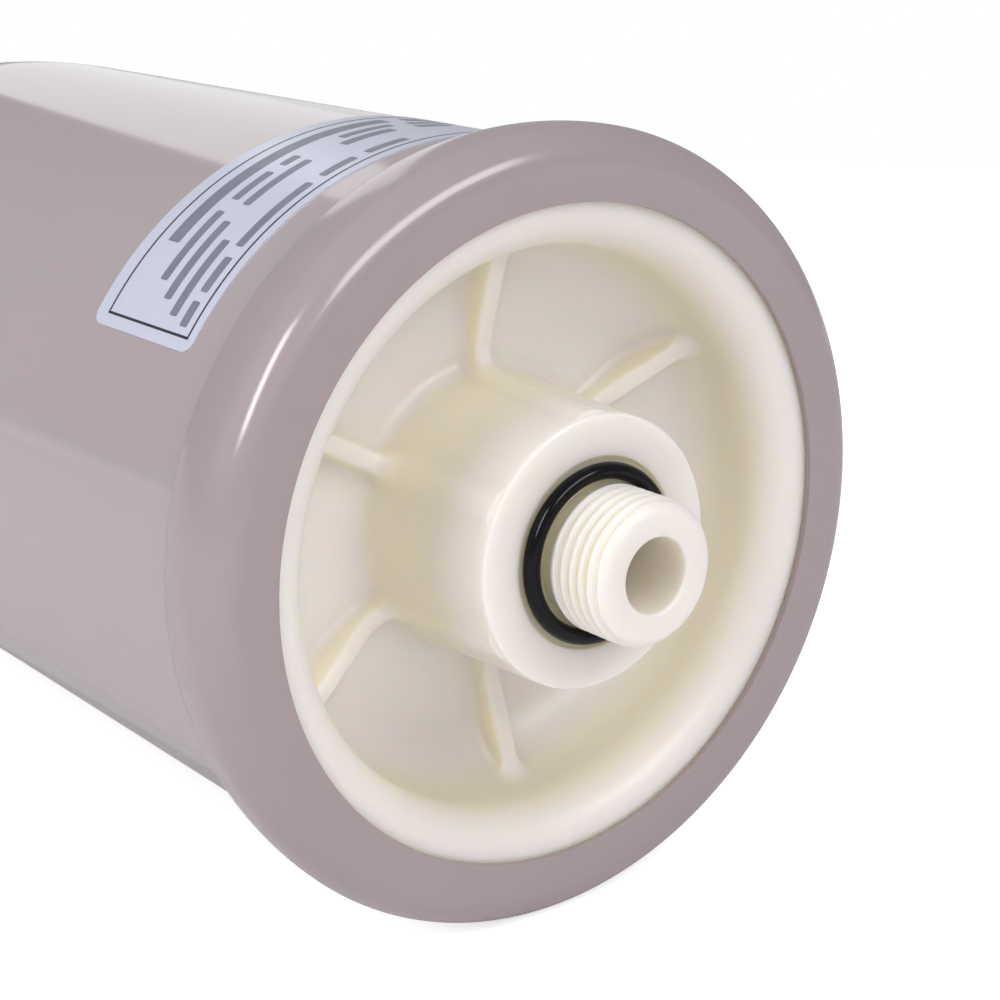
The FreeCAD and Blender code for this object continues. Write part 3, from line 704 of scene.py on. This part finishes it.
@dataclass
class PortFlange:
    """The moulded cream end: rim, recess with ribs, hub, seal groove and threaded nipple.

    Its skin is one closed grid. The rows go round an outline, from the bore over the nipple,
    the hub, the recess and the rim, and back inside the tank. The columns run beside the ribs.
    """

    bore_r: float = 5.35
    bore_round: float = 0.5
    end_x: float = 10.3
    end_round: float = 2.2
    thread_r: float = 10.4775
    thread_root_r: float = 9.6
    pitch: float = 1.814
    run_out: float = 0.7
    neck_r: float = 9.3
    groove_floor: float = -3.0
    groove_r: float = 13.76
    hub_face: float = -2.2
    hub_r: float = 19.66
    hub_foot_r: float = 20.86
    hub_edge_round: float = 0.5
    hub_floor_depth: float = 21.4
    wall_floor_depth: float = 20.6
    wall_r: float = 40.8
    mouth_r: float = 41.1
    rim_round: float = 6.4
    rim_depth: float = 1.2
    seat_r: float = 48.35
    seat_depth: float = 1.0
    outer_r: float = 55.5
    outer_round: float = 4.2
    rim_back_depth: float = 8.5
    spigot_r: float = 50.8
    spigot_depth: float = 12.6
    cup_r: float = 45.6
    cup_depth: float = 24.8
    cup_round: float = 10.0
    boss_depth: float = 25.6
    boss_r: float = 9.5
    inner_depth: float = 28.6
    inner_round: float = 0.3
    hub_foot_round: float = 3.0
    floor_round: float = 10.0
    rib_count: int = 6
    rib_start: float = 31.5
    rib_half: float = 1.5
    rib_draft: float = 0.06
    rib_wall_height: float = 7.3
    rib_hub_height: float = 1.4
    rib_edge_round: float = 0.9
    rib_foot_round: float = 2.2
    rib_curl: float = 6.0
    rib_hub_sunk: float = 0.3
    root_share: float = 0.125
    flank_slope: float = 2.5
    middle_depth: float = 3.0
    middle_r: float = 31.0
    traced_depth: float = 9.0
    traced_share: float = 0.8
    traced_gap: float = 0.002
    edge_reach: float = 1.5
    rib_columns: tuple[tuple[float, float, int], ...] = (
        (0.0, 0.8, 3), (0.95, 2.25, 13), (2.45, 5.0, 9))
    between_ribs: int = 12
    end_rows: int = 16
    thread_rows: int = 92
    side_rows: int = 40
    floor_rows: int = 30
    wall_rows: int = 22

    def recess(self, depth: np.ndarray, r: np.ndarray, angle: np.ndarray) -> np.ndarray:
        """The distance field of the recess, negative inside the plastic.

        Args:
            depth: the places' depths.
            r: their radii.
            angle: their angles round the tank.

        Returns:
            The distance to the rounded floor, wall, hub and ribs.
        """
        hub_fall = (self.hub_foot_r - self.hub_r) / (
            self.hub_floor_depth + self.hub_face - behind(0))
        hub = r - (self.hub_foot_r + hub_fall * (depth - self.hub_floor_depth))
        span = self.wall_r - self.hub_foot_r
        fall = (self.hub_floor_depth - self.wall_floor_depth) / span
        out = r - self.hub_foot_r
        floor = (self.hub_floor_depth - fall * out - depth) / math.hypot(1, fall)
        arc_depth, arc_r = self.rim_depth + self.rim_round, self.mouth_r + self.rim_round
        draft = (self.mouth_r - self.wall_r) / (self.wall_floor_depth - arc_depth)
        wall = np.where(
            depth > arc_depth,
            self.wall_r + draft * (self.wall_floor_depth - depth) - r,
            np.hypot(depth - arc_depth, r - arc_r) - self.rim_round,
        )
        base = soft_union(soft_union(hub, floor, self.hub_foot_round), wall, self.floor_round)
        pitch = FULL_TURN / self.rib_count
        aside = np.radians((angle - self.rib_start + pitch / 2) % pitch - pitch / 2)
        across, along = np.abs(r * np.sin(aside)), r * np.cos(aside)
        hub_top = self.hub_floor_depth - self.rib_hub_height
        wall_top = self.wall_floor_depth - self.rib_wall_height
        slope = (hub_top - wall_top) / span
        top_depth = hub_top - slope * (along - self.hub_foot_r)
        top = (top_depth - depth) / math.hypot(1, slope)
        side = across - self.rib_half - self.rib_draft * np.maximum(depth - top_depth, 0)
        curl = soft_union(top, hub + self.rib_hub_sunk, self.rib_curl)
        rib = soft_meet(side, curl, self.rib_edge_round)
        return soft_union(base, rib, self.rib_foot_round)

    def traced(self, depth: np.ndarray, r: np.ndarray,
               angle: np.ndarray) -> tuple[np.ndarray, np.ndarray]:
        """Walks from the middle of the recess towards each place until it meets the plastic.

        Args:
            depth: the depths of the places.
            r: their radii.
            angle: their angles round the tank.

        Returns:
            The depths and radii at which the walks end.
        """
        run_depth, run_r = depth - self.middle_depth, r - self.middle_r
        length = np.hypot(run_depth, run_r)
        travel = np.zeros_like(length)
        step = np.ones_like(length)
        while step.max() > self.traced_gap:
            here_depth = self.middle_depth + travel * run_depth / length
            here_r = self.middle_r + travel * run_r / length
            clear = self.recess(here_depth, here_r, angle)
            step = np.minimum(self.traced_share * clear, length - travel)
            travel = travel + step
        share = travel / length
        return self.middle_depth + share * run_depth, self.middle_r + share * run_r

    def column_angles(self, r: np.ndarray) -> np.ndarray:
        """The angle of every column, dense beside the ribs.

        Args:
            r: the radius of each row.

        Returns:
            The angles, rows by columns.
        """
        half = np.concatenate([np.linspace(*run) for run in self.rib_columns])
        across = np.concatenate([-half[:0:-1], half])
        reach = np.clip(r, self.hub_foot_r, self.wall_r)[:, None]
        near = np.degrees(np.arcsin(across[None, :] / reach))
        pitch = FULL_TURN / self.rib_count
        share = np.linspace(0, 1, self.between_ribs + 2)[None, 1:-1]
        gap = near[:, -1:] + (pitch - 2 * near[:, -1:]) * share
        sector = np.concatenate([near, gap], axis=1)
        starts = self.rib_start + pitch * np.arange(self.rib_count)
        return np.concatenate([start + sector for start in starts], axis=1)

    def nipple(self, x: np.ndarray, angle: np.ndarray) -> np.ndarray:
        """The radius of the threaded nipple: a helix, its run-out and the rounded end.

        Args:
            x: the places along the axis.
            angle: the angles round it.

        Returns:
            The radii.
        """
        phase = (x / self.pitch - angle / FULL_TURN) % 1.0
        share = np.clip(self.flank_slope * np.abs(phase - 0.5) - self.root_share, 0, 1)
        rise = (self.thread_r - self.thread_root_r) * (0.5 - 0.5 * np.cos(np.pi * share))
        past = np.maximum(x - self.end_x + self.end_round, 0)
        end = self.thread_r - self.end_round + np.sqrt(
            np.maximum(self.end_round ** 2 - past ** 2, 0))
        run_out = self.neck_r + (x + self.run_out) * (self.thread_r - self.neck_r) / self.run_out
        ridge = np.minimum(self.thread_root_r + rise, end)
        return np.minimum(ridge, np.maximum(run_out, self.neck_r))

    def grid(self) -> np.ndarray:
        """Every place of the skin.

        Returns:
            The places in metres, rows by columns by 3.
        """
        end = rounded([
            Corner(behind(self.inner_depth), self.bore_r),
            Corner(self.end_x, self.bore_r, self.bore_round),
            Corner(self.end_x, self.thread_r - self.end_round),
        ], closed=False)
        turn = np.radians(np.linspace(0, 90, self.end_rows))[1:]
        thread_x = np.concatenate([
            self.end_x - self.end_round * (1 - np.cos(turn)),
            np.linspace(self.end_x - self.end_round, -self.run_out, self.thread_rows)[1:],
        ])
        hub_rise = self.hub_face - behind(0)
        hub_slope = (self.hub_foot_r - self.hub_r) / (self.hub_floor_depth + hub_rise)
        side_start = self.hub_edge_round * self.edge_reach - hub_rise
        hub = rounded([
            Corner(-self.run_out, self.neck_r),
            Corner(self.groove_floor, self.neck_r, 0.15, 3),
            Corner(self.groove_floor, self.groove_r, 0.15, 3),
            Corner(self.hub_face, self.groove_r, 0.2, 3),
            Corner(self.hub_face, self.hub_r, self.hub_edge_round, 7),
            Corner(behind(side_start), self.hub_r + hub_slope * (side_start + hub_rise)),
        ], closed=False)[1:]
        side_depth = eased(side_start, self.hub_floor_depth, self.side_rows)[1:]
        floor_r = eased(self.hub_foot_r, self.wall_r, self.floor_rows)[1:]
        wall_depth = np.linspace(self.wall_floor_depth, self.traced_depth, self.wall_rows)[1:]
        side_r = self.hub_foot_r + hub_slope * (side_depth - self.hub_floor_depth)
        fall = (self.hub_floor_depth - self.wall_floor_depth) / (self.wall_r - self.hub_foot_r)
        floor_depth = self.hub_floor_depth - fall * (floor_r - self.hub_foot_r)
        draft = (self.mouth_r - self.wall_r) / (
            self.wall_floor_depth - self.rim_depth - self.rim_round)
        wall_r = self.wall_r + draft * (self.wall_floor_depth - wall_depth)
        target_depth = np.concatenate([side_depth, floor_depth, wall_depth])
        target_r = np.concatenate([side_r, floor_r, wall_r])
        arc_depth, arc_r = self.rim_depth + self.rim_round, self.mouth_r + self.rim_round
        rim = arc(behind(arc_depth), arc_r, self.rim_round, 270, 360, 14)
        rest = rounded(rim[:-1] + [
            Corner(behind(self.rim_depth), arc_r + 0.1),
            Corner(behind(self.rim_depth), self.seat_r),
            Corner(behind(self.seat_depth), self.seat_r),
            Corner(behind(self.seat_depth), self.outer_r, self.outer_round, 8),
            Corner(behind(self.rim_back_depth), self.outer_r, self.inner_round, 2),
            Corner(behind(self.rim_back_depth), self.spigot_r),
            Corner(behind(self.spigot_depth), self.spigot_r, self.inner_round, 2),
            Corner(behind(self.spigot_depth), self.cup_r),
            Corner(behind(self.cup_depth), self.cup_r, self.cup_round, 8),
            Corner(behind(self.boss_depth), self.boss_r),
            Corner(behind(self.inner_depth), self.boss_r, self.inner_round, 2),
            Corner(behind(self.inner_depth), self.bore_r),
        ], closed=False)[:-1]

        def plain(points: np.ndarray) -> np.ndarray:
            """Rows that are plain circles."""
            return spun(points[:, :1], points[:, 1:], self.column_angles(points[:, 1]))

        thread_angle = self.column_angles(np.full(len(thread_x), self.thread_r))
        thread = spun(thread_x[:, None], self.nipple(thread_x[:, None], thread_angle), thread_angle)
        recess_angle = self.column_angles(target_r)
        depth, r = self.traced(
            np.broadcast_to(target_depth[:, None], recess_angle.shape),
            np.broadcast_to(target_r[:, None], recess_angle.shape), recess_angle)
        recess = spun(behind(0) - depth, r, recess_angle)
        return np.concatenate([plain(end), thread, plain(hub), recess, plain(rest)])

    def build(self) -> None:
        """Skins the flange and gives it its cream plastic."""
        flange = skin("cream_flange", self.grid(), close_rows=True, close_columns=True, crease=40.0)
        dress(flange, CREAM.material(), Slot.PORT, "port_flange")


@dataclass
class PortSeal:
    """The black ring seal in the hub's groove."""

    centre_r: float = 11.85
    section_r: float = 1.2
    centre_x: float = -1.8

    def build(self) -> None:
        """Turns the seal."""
        section = rounded(arc(self.centre_x, self.centre_r, self.section_r, 0, FULL_TURN, 40)[:-1])
        seal = turned("black_seal", section, columns=256)
        dress(seal, RUBBER.material(), Slot.SEAL, "port_o_ring")


@dataclass
class DataLabel:
    """The silver-blue sticker on the barrel, with a border line and plain bars for its print."""

    shell_r: float = 54.3
    thickness: float = 0.15
    front_depth: float = 24.0
    width: float = 26.6
    start: float = 73.7
    sweep: float = 73.9
    corner: float = 2.0
    line_width: float = 0.4
    line_lift: float = 0.015
    line_front_depth: float = 25.6
    line_rear_depth: float = 47.7
    line_end_inset: float = 1.9
    line_corner: float = 0.04
    # each bar's front depth, its height, where it begins from the line's lower end, its length
    words: tuple[tuple[float, float, float, float], ...] = (
        (42.0, 3.0, 13.0, 40.0), (42.0, 3.0, 56.0, 9.0),
        (38.2, 1.9, 7.0, 13.0), (38.2, 1.9, 22.5, 7.0), (38.2, 1.9, 31.5, 3.0),
        (38.2, 1.9, 42.0, 9.0), (38.2, 1.9, 54.0, 8.0),
        (34.6, 1.9, 4.5, 14.0), (34.6, 1.9, 22.0, 12.0), (34.6, 2.2, 40.0, 9.0),
        (34.6, 2.2, 53.0, 6.0),
        (31.0, 1.9, 2.5, 13.0),
        (27.4, 1.9, 1.5, 4.0), (27.4, 1.9, 7.0, 6.0), (27.4, 1.9, 15.0, 14.0),
        (27.4, 1.9, 31.0, 6.0), (27.4, 1.9, 39.0, 7.0),
    )

    def wrapped(self, name: str, r: float, lift: float, front_depth: float, rear_depth: float,
                start: float, end: float, corner: float) -> bpy.types.Object:
        """A thin sheet wrapped round the barrel.

        Args:
            name: the object's name.
            r: the radius of its underside.
            lift: its thickness.
            front_depth: the depth of its front edge.
            rear_depth: the depth of its rear edge.
            start: the angle of its first end.
            end: the angle of its other end.
            corner: the radius of its corners.

        Returns:
            The closed sheet, in steps of about a degree.
        """
        ease = np.radians(np.linspace(0, 90, 9))
        inner = corner * (1 - np.cos(ease))
        rows = np.concatenate([
            inner, np.linspace(corner, rear_depth - front_depth - corner, 6)[1:-1],
            (rear_depth - front_depth) - inner[::-1],
        ])
        inset = np.zeros_like(rows)
        inset[:len(ease)] = corner * (1 - np.sin(ease))
        inset[-len(ease):] = corner * (1 - np.sin(ease[::-1]))
        inset = np.degrees(inset / r)
        share = np.linspace(0, 1, max(int(end - start), 2))
        angle = start + inset[:, None] + (end - start - 2 * inset[:, None]) * share[None, :]
        x = behind(front_depth) - rows[:, None]
        low, high = spun(x, np.array(r), angle), spun(x, np.array(r + lift), angle)
        return self.slab(name, low, high)

    def slab(self, name: str, low: np.ndarray, high: np.ndarray) -> bpy.types.Object:
        """Closes two like grids into one thin solid.

        Args:
            name: the object's name.
            low: the places of its underside.
            high: the places of its top.

        Returns:
            The solid.
        """
        rows, columns = low.shape[:2]
        index = np.arange(rows * columns).reshape(rows, columns)
        top = index + rows * columns
        faces = []
        for i in range(rows - 1):
            for j in range(columns - 1):
                faces.append([index[i, j], index[i, j + 1], index[i + 1, j + 1], index[i + 1, j]])
                faces.append([top[i, j], top[i + 1, j], top[i + 1, j + 1], top[i, j + 1]])
        ring = (
            [index[0, j] for j in range(columns)]
            + [index[i, -1] for i in range(1, rows)]
            + [index[-1, j] for j in range(columns - 2, -1, -1)]
            + [index[i, 0] for i in range(rows - 2, 0, -1)]
        )
        count = rows * columns
        for here, following in zip(ring, ring[1:] + ring[:1]):
            faces.append([here, here + count, following + count, following])
        faces = [[int(corner) for corner in face] for face in faces]
        return shaped(name, np.concatenate([low.reshape(-1, 3), high.reshape(-1, 3)]), faces)

    def build(self) -> None:
        """Makes the sticker, the border line on it and the bars in place of words."""
        end = self.start + self.sweep
        sheet = self.wrapped(
            "label_sheet", self.shell_r, self.thickness, self.front_depth,
            self.front_depth + self.width, self.start, end, self.corner)
        dress(sheet, LABEL_FILM.material(), Slot.LABEL, "data_label")
        ink = INK.material()
        top = self.shell_r + self.thickness
        line_start, line_end = self.start + self.line_end_inset, end - self.line_end_inset
        across = math.degrees(self.line_width / top)
        bars = {
            "front": (self.line_front_depth, self.line_front_depth + self.line_width,
                      line_start, line_end),
            "rear": (self.line_rear_depth - self.line_width, self.line_rear_depth,
                     line_start, line_end),
            "top": (self.line_front_depth, self.line_rear_depth,
                    line_start, line_start + across),
            "bottom": (self.line_front_depth, self.line_rear_depth,
                       line_end - across, line_end),
        }
        for side, (front, rear, first, last) in bars.items():
            bar = self.wrapped(f"label_line_{side}", top, self.line_lift, front, rear,
                               first, last, self.line_corner)
            bar.data.materials.append(ink)
            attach(bar, BODY)
        print_grey = PRINT.material()
        for index, (front, height, begin, length) in enumerate(self.words):
            last = line_end - math.degrees(begin / top)
            first = last - math.degrees(length / top)
            bar = self.wrapped(f"label_word_{index}", top, self.line_lift, front, front + height,
                               first, last, self.line_width)
            bar.data.materials.append(print_grey)
            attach(bar, BODY)


@dataclass
class InnerPieces:
    """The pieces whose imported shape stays: those inside the tank and the gas valve's metal."""

    finishes: dict[Finish, tuple[str, ...]] = field(default_factory=lambda: {
        BLADDER_RUBBER: ("bladder",),
        BUTTON_PLASTIC: ("bladder_button",),
        BRASS: ("gas_valve_stem", "valve_core_barrel"),
        RUBBER: ("stem_gasket", "valve_cap_seal", "valve_core_gasket", "valve_core_seal"),
        ZINC: ("stem_washer", "stem_nut", "valve_core_pin", "valve_core_spring"),
        CAP_PLASTIC: ("valve_cap",),
    })

    def build(self) -> None:
        """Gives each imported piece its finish."""
        for finish, nodes in self.finishes.items():
            material = finish.material()
            for node in nodes:
                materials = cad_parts[node].data.materials
                materials.clear()
                materials.append(material)
                LOG.info("%s keeps its packed shape", node)


@dataclass(frozen=True)
class Lamp:
    """A rectangular lamp that faces the ring.

    Args:
        name: the lamp's name.
        azimuth: where it hangs, from -Y towards +X.
        elevation: how high it hangs.
        distance: how far it is from the ring's face.
        width: its level size.
        height: its other size.
        radiance: how bright its face is, where 1 is white.
        gloss: whether it is there for the gloss or for the even light.
    """

    name: str
    azimuth: float
    elevation: float
    distance: float
    width: float
    height: float
    radiance: float
    gloss: bool


@dataclass
class Studio:
    """The pale floor, the soft lamps, the white surroundings and the camera."""

    lens: float = 79.28
    sensor: float = 36.0
    place: tuple[float, float, float] = (218.1, -187.7, 95.1)
    right: tuple[float, float, float] = (0.6126, 0.7904, 0.0)
    up: tuple[float, float, float] = (-0.2287, 0.1773, 0.9572)
    backward: tuple[float, float, float] = (0.7566, -0.5864, 0.2894)
    near_limit: float = 10.0
    floor_reach: float = 760.0
    floor_centre: float = 60.0
    floor_columns: int = 96
    floor_tone: float = 0.9
    floor_glow: float = 0.62
    ambient: float = 0.40
    dim_sky: float = 0.40
    horizon: tuple[float, float] = (-0.09, -0.05)
    round_lamps: tuple[Lamp, ...] = (
        Lamp("right_soft", 100.0, 48.0, 800.0, 700.0, 600.0, 2.2, gloss=False),
        Lamp("front_soft", 65.0, 20.0, 1200.0, 500.0, 500.0, 3.4, gloss=False),
        Lamp("left_soft", -8.0, 32.0, 1200.0, 700.0, 700.0, 5.2, gloss=False),
        Lamp("right_strip", 103.0, 33.0, 1200.0, 820.0, 330.0, 8.5, gloss=True),
        Lamp("left_strip", 30.0, 33.0, 1200.0, 230.0, 560.0, 17.0, gloss=True),
    )
    panel_top: tuple[float, float, float] = (-870.0, 216.0, 410.0)
    panel_edge: tuple[float, float, float] = (0.968, -0.251, 0.0)
    panel_down: tuple[float, float, float] = (-0.087, 0.527, -0.846)
    panel_width: float = 760.0
    panel_height: float = 460.0
    panel_radiance: float = 0.96
    panel_fade: float = 0.6

    def camera(self) -> None:
        """Sets the camera up as the photograph was taken."""
        lens = bpy.data.cameras.new("camera")
        lens.lens = self.lens
        lens.sensor_width = self.sensor
        lens.sensor_fit = "HORIZONTAL"
        lens.clip_start = self.near_limit * MM
        viewer = bpy.data.objects.new("camera", lens)
        axes = [Vector(axis).normalized() for axis in (self.right, self.up, self.backward)]
        turn = Matrix(axes).transposed().to_4x4()
        viewer.matrix_world = Matrix.Translation(Vector(self.place) * MM) @ turn
        bpy.context.scene.collection.objects.link(viewer)
        bpy.context.scene.camera = viewer

    def lamp(self, name: str, centre: Vector, along: Vector, away: Vector, width: float,
             height: float, radiance: float, gloss: bool, fade: float = 1.0) -> None:
        """Adds a rectangular lamp that either shows in the gloss or lights the object evenly.

        Args:
            name: the lamp's name.
            centre: its middle, in millimetres.
            along: the way its width runs.
            away: the way its back faces.
            width: its size along that way.
            height: its size across it.
            radiance: how bright its face is, where 1 is white.
            gloss: whether it is there for the gloss or for the even light.
            fade: the share of its brightness that is left at the end of its height.
        """
        light = bpy.data.lights.new(name, "AREA")
        light.shape = "RECTANGLE"
        light.size, light.size_y = width * MM, height * MM
        light.energy = radiance * math.pi * light.size * light.size_y
        if fade != 1.0:
            light.use_nodes = True
            tree = light.node_tree
            spot = tree.nodes.new("ShaderNodeNewGeometry")
            parts = tree.nodes.new("ShaderNodeSeparateXYZ")
            tree.links.new(spot.outputs["Parametric"], parts.inputs["Vector"])
            share = tree.nodes.new("ShaderNodeMapRange")
            share.inputs["To Min"].default_value = 1.0
            share.inputs["To Max"].default_value = fade
            tree.links.new(parts.outputs["Y"], share.inputs["Value"])
            tree.links.new(share.outputs["Result"], tree.nodes["Emission"].inputs["Strength"])
        thing = bpy.data.objects.new(name, light)
        back = away.normalized()
        side = (along - back * along.dot(back)).normalized()
        turn = Matrix((side, back.cross(side), back)).transposed().to_4x4()
        thing.matrix_world = Matrix.Translation(centre * MM) @ turn
        thing.visible_diffuse = not gloss
        thing.visible_glossy = gloss
        bpy.context.scene.collection.objects.link(thing)

    def lamps(self) -> None:
        """Adds the lamps round the ring, and the panel that the barrel's top mirrors."""
        ring = Vector((behind(0), 0.0, 0.0))
        for lamp in self.round_lamps:
            a, e = math.radians(lamp.azimuth), math.radians(lamp.elevation)
            away = Vector((math.sin(a) * math.cos(e), -math.cos(a) * math.cos(e), math.sin(e)))
            level = Vector((math.cos(a), math.sin(a), 0.0))
            self.lamp(lamp.name, ring + away * lamp.distance, level, away, lamp.width,
                      lamp.height, lamp.radiance, lamp.gloss)
        edge, down = Vector(self.panel_edge), Vector(self.panel_down)
        self.lamp("rear_panel", Vector(self.panel_top) + down * self.panel_height / 2, edge,
                  edge.cross(down), self.panel_width, self.panel_height, self.panel_radiance,
                  gloss=True, fade=self.panel_fade)

    def world(self) -> None:
        """White in the picture, even light on the object, and in reflections a dimmer sky."""
        world = bpy.data.worlds.new("surroundings")
        bpy.context.scene.world = world
        world.use_nodes = True
        tree = world.node_tree
        tree.nodes.clear()
        out = tree.nodes.new("ShaderNodeOutputWorld")
        ambient = self.background(tree, self.ambient)
        shown = self.background(tree, 1.0)
        mirrored = self.background(tree, 1.0)
        way = tree.nodes.new("ShaderNodeTexCoord")
        parts = tree.nodes.new("ShaderNodeSeparateXYZ")
        tree.links.new(way.outputs["Generated"], parts.inputs["Vector"])
        sky = tree.nodes.new("ShaderNodeMapRange")
        sky.inputs["From Min"].default_value, sky.inputs["From Max"].default_value = self.horizon
        sky.inputs["To Min"].default_value = 1.0
        sky.inputs["To Max"].default_value = self.dim_sky
        tree.links.new(parts.outputs["Z"], sky.inputs["Value"])
        tree.links.new(sky.outputs["Result"], mirrored.inputs["Strength"])
        path = tree.nodes.new("ShaderNodeLightPath")
        reflected = tree.nodes.new("ShaderNodeMath")
        reflected.operation = "MAXIMUM"
        tree.links.new(path.outputs["Is Glossy Ray"], reflected.inputs[0])
        tree.links.new(path.outputs["Is Transmission Ray"], reflected.inputs[1])
        first = tree.nodes.new("ShaderNodeMixShader")
        tree.links.new(reflected.outputs[0], first.inputs["Fac"])
        tree.links.new(ambient.outputs[0], first.inputs[1])
        tree.links.new(mirrored.outputs[0], first.inputs[2])
        second = tree.nodes.new("ShaderNodeMixShader")
        tree.links.new(path.outputs["Is Camera Ray"], second.inputs["Fac"])
        tree.links.new(first.outputs[0], second.inputs[1])
        tree.links.new(shown.outputs[0], second.inputs[2])
        tree.links.new(second.outputs[0], out.inputs["Surface"])

    def background(self, tree: bpy.types.NodeTree, strength: float) -> bpy.types.Node:
        """Adds a white background.

        Args:
            tree: the world's node tree.
            strength: how bright it is, where 1 is white.

        Returns:
            The background's node.
        """
        node = tree.nodes.new("ShaderNodeBackground")
        node.inputs["Color"].default_value = (1.0, 1.0, 1.0, 1.0)
        node.inputs["Strength"].default_value = strength
        return node

    def floor(self) -> None:
        """A pale floor under the ring's lowest point, which shows white but keeps the shadow."""
        low = CAD_BOX[0][2] / MM
        columns = self.floor_columns
        angle = np.radians(np.arange(columns) * FULL_TURN / columns)
        rim = np.stack([
            self.floor_reach * np.cos(angle) + behind(self.floor_centre),
            self.floor_reach * np.sin(angle), np.full(columns, low)], axis=-1) * MM
        mesh = bpy.data.meshes.new("floor")
        mesh.from_pydata(rim.tolist(), [], [list(range(columns))])
        ground = bpy.data.objects.new("floor", mesh)
        bpy.context.scene.collection.objects.link(ground)
        material = bpy.data.materials.new("pale_floor")
        material.use_nodes = True
        tree = material.node_tree
        shader = tree.nodes["Principled BSDF"]
        shader.inputs["Base Color"].default_value = (*[self.floor_tone] * 3, 1.0)
        shader.inputs["Roughness"].default_value = 0.9
        shader.inputs["Emission Color"].default_value = (1.0, 1.0, 1.0, 1.0)
        path = tree.nodes.new("ShaderNodeLightPath")
        glow = tree.nodes.new("ShaderNodeMath")
        glow.operation = "MULTIPLY"
        glow.inputs[1].default_value = self.floor_glow
        tree.links.new(path.outputs["Is Camera Ray"], glow.inputs[0])
        tree.links.new(glow.outputs[0], shader.inputs["Emission Strength"])
        mesh.materials.append(material)

    def build(self) -> None:
        """Sets up the whole studio."""
        bpy.context.scene.view_settings.view_transform = "Standard"
        self.camera()
        self.lamps()
        self.world()
        self.floor()


def main() -> None:
    """Builds the tank's pieces and the studio round them."""
    logging.basicConfig(level=logging.INFO, format="%(name)s: %(message)s")
    for part in (TankShell(), ClampRing(), PortFlange(), PortSeal(), DataLabel(), InnerPieces(),
                 Studio()):
        part.build()
        LOG.info("%s done", type(part).__name__)


if __name__ == "__main__":
    main()
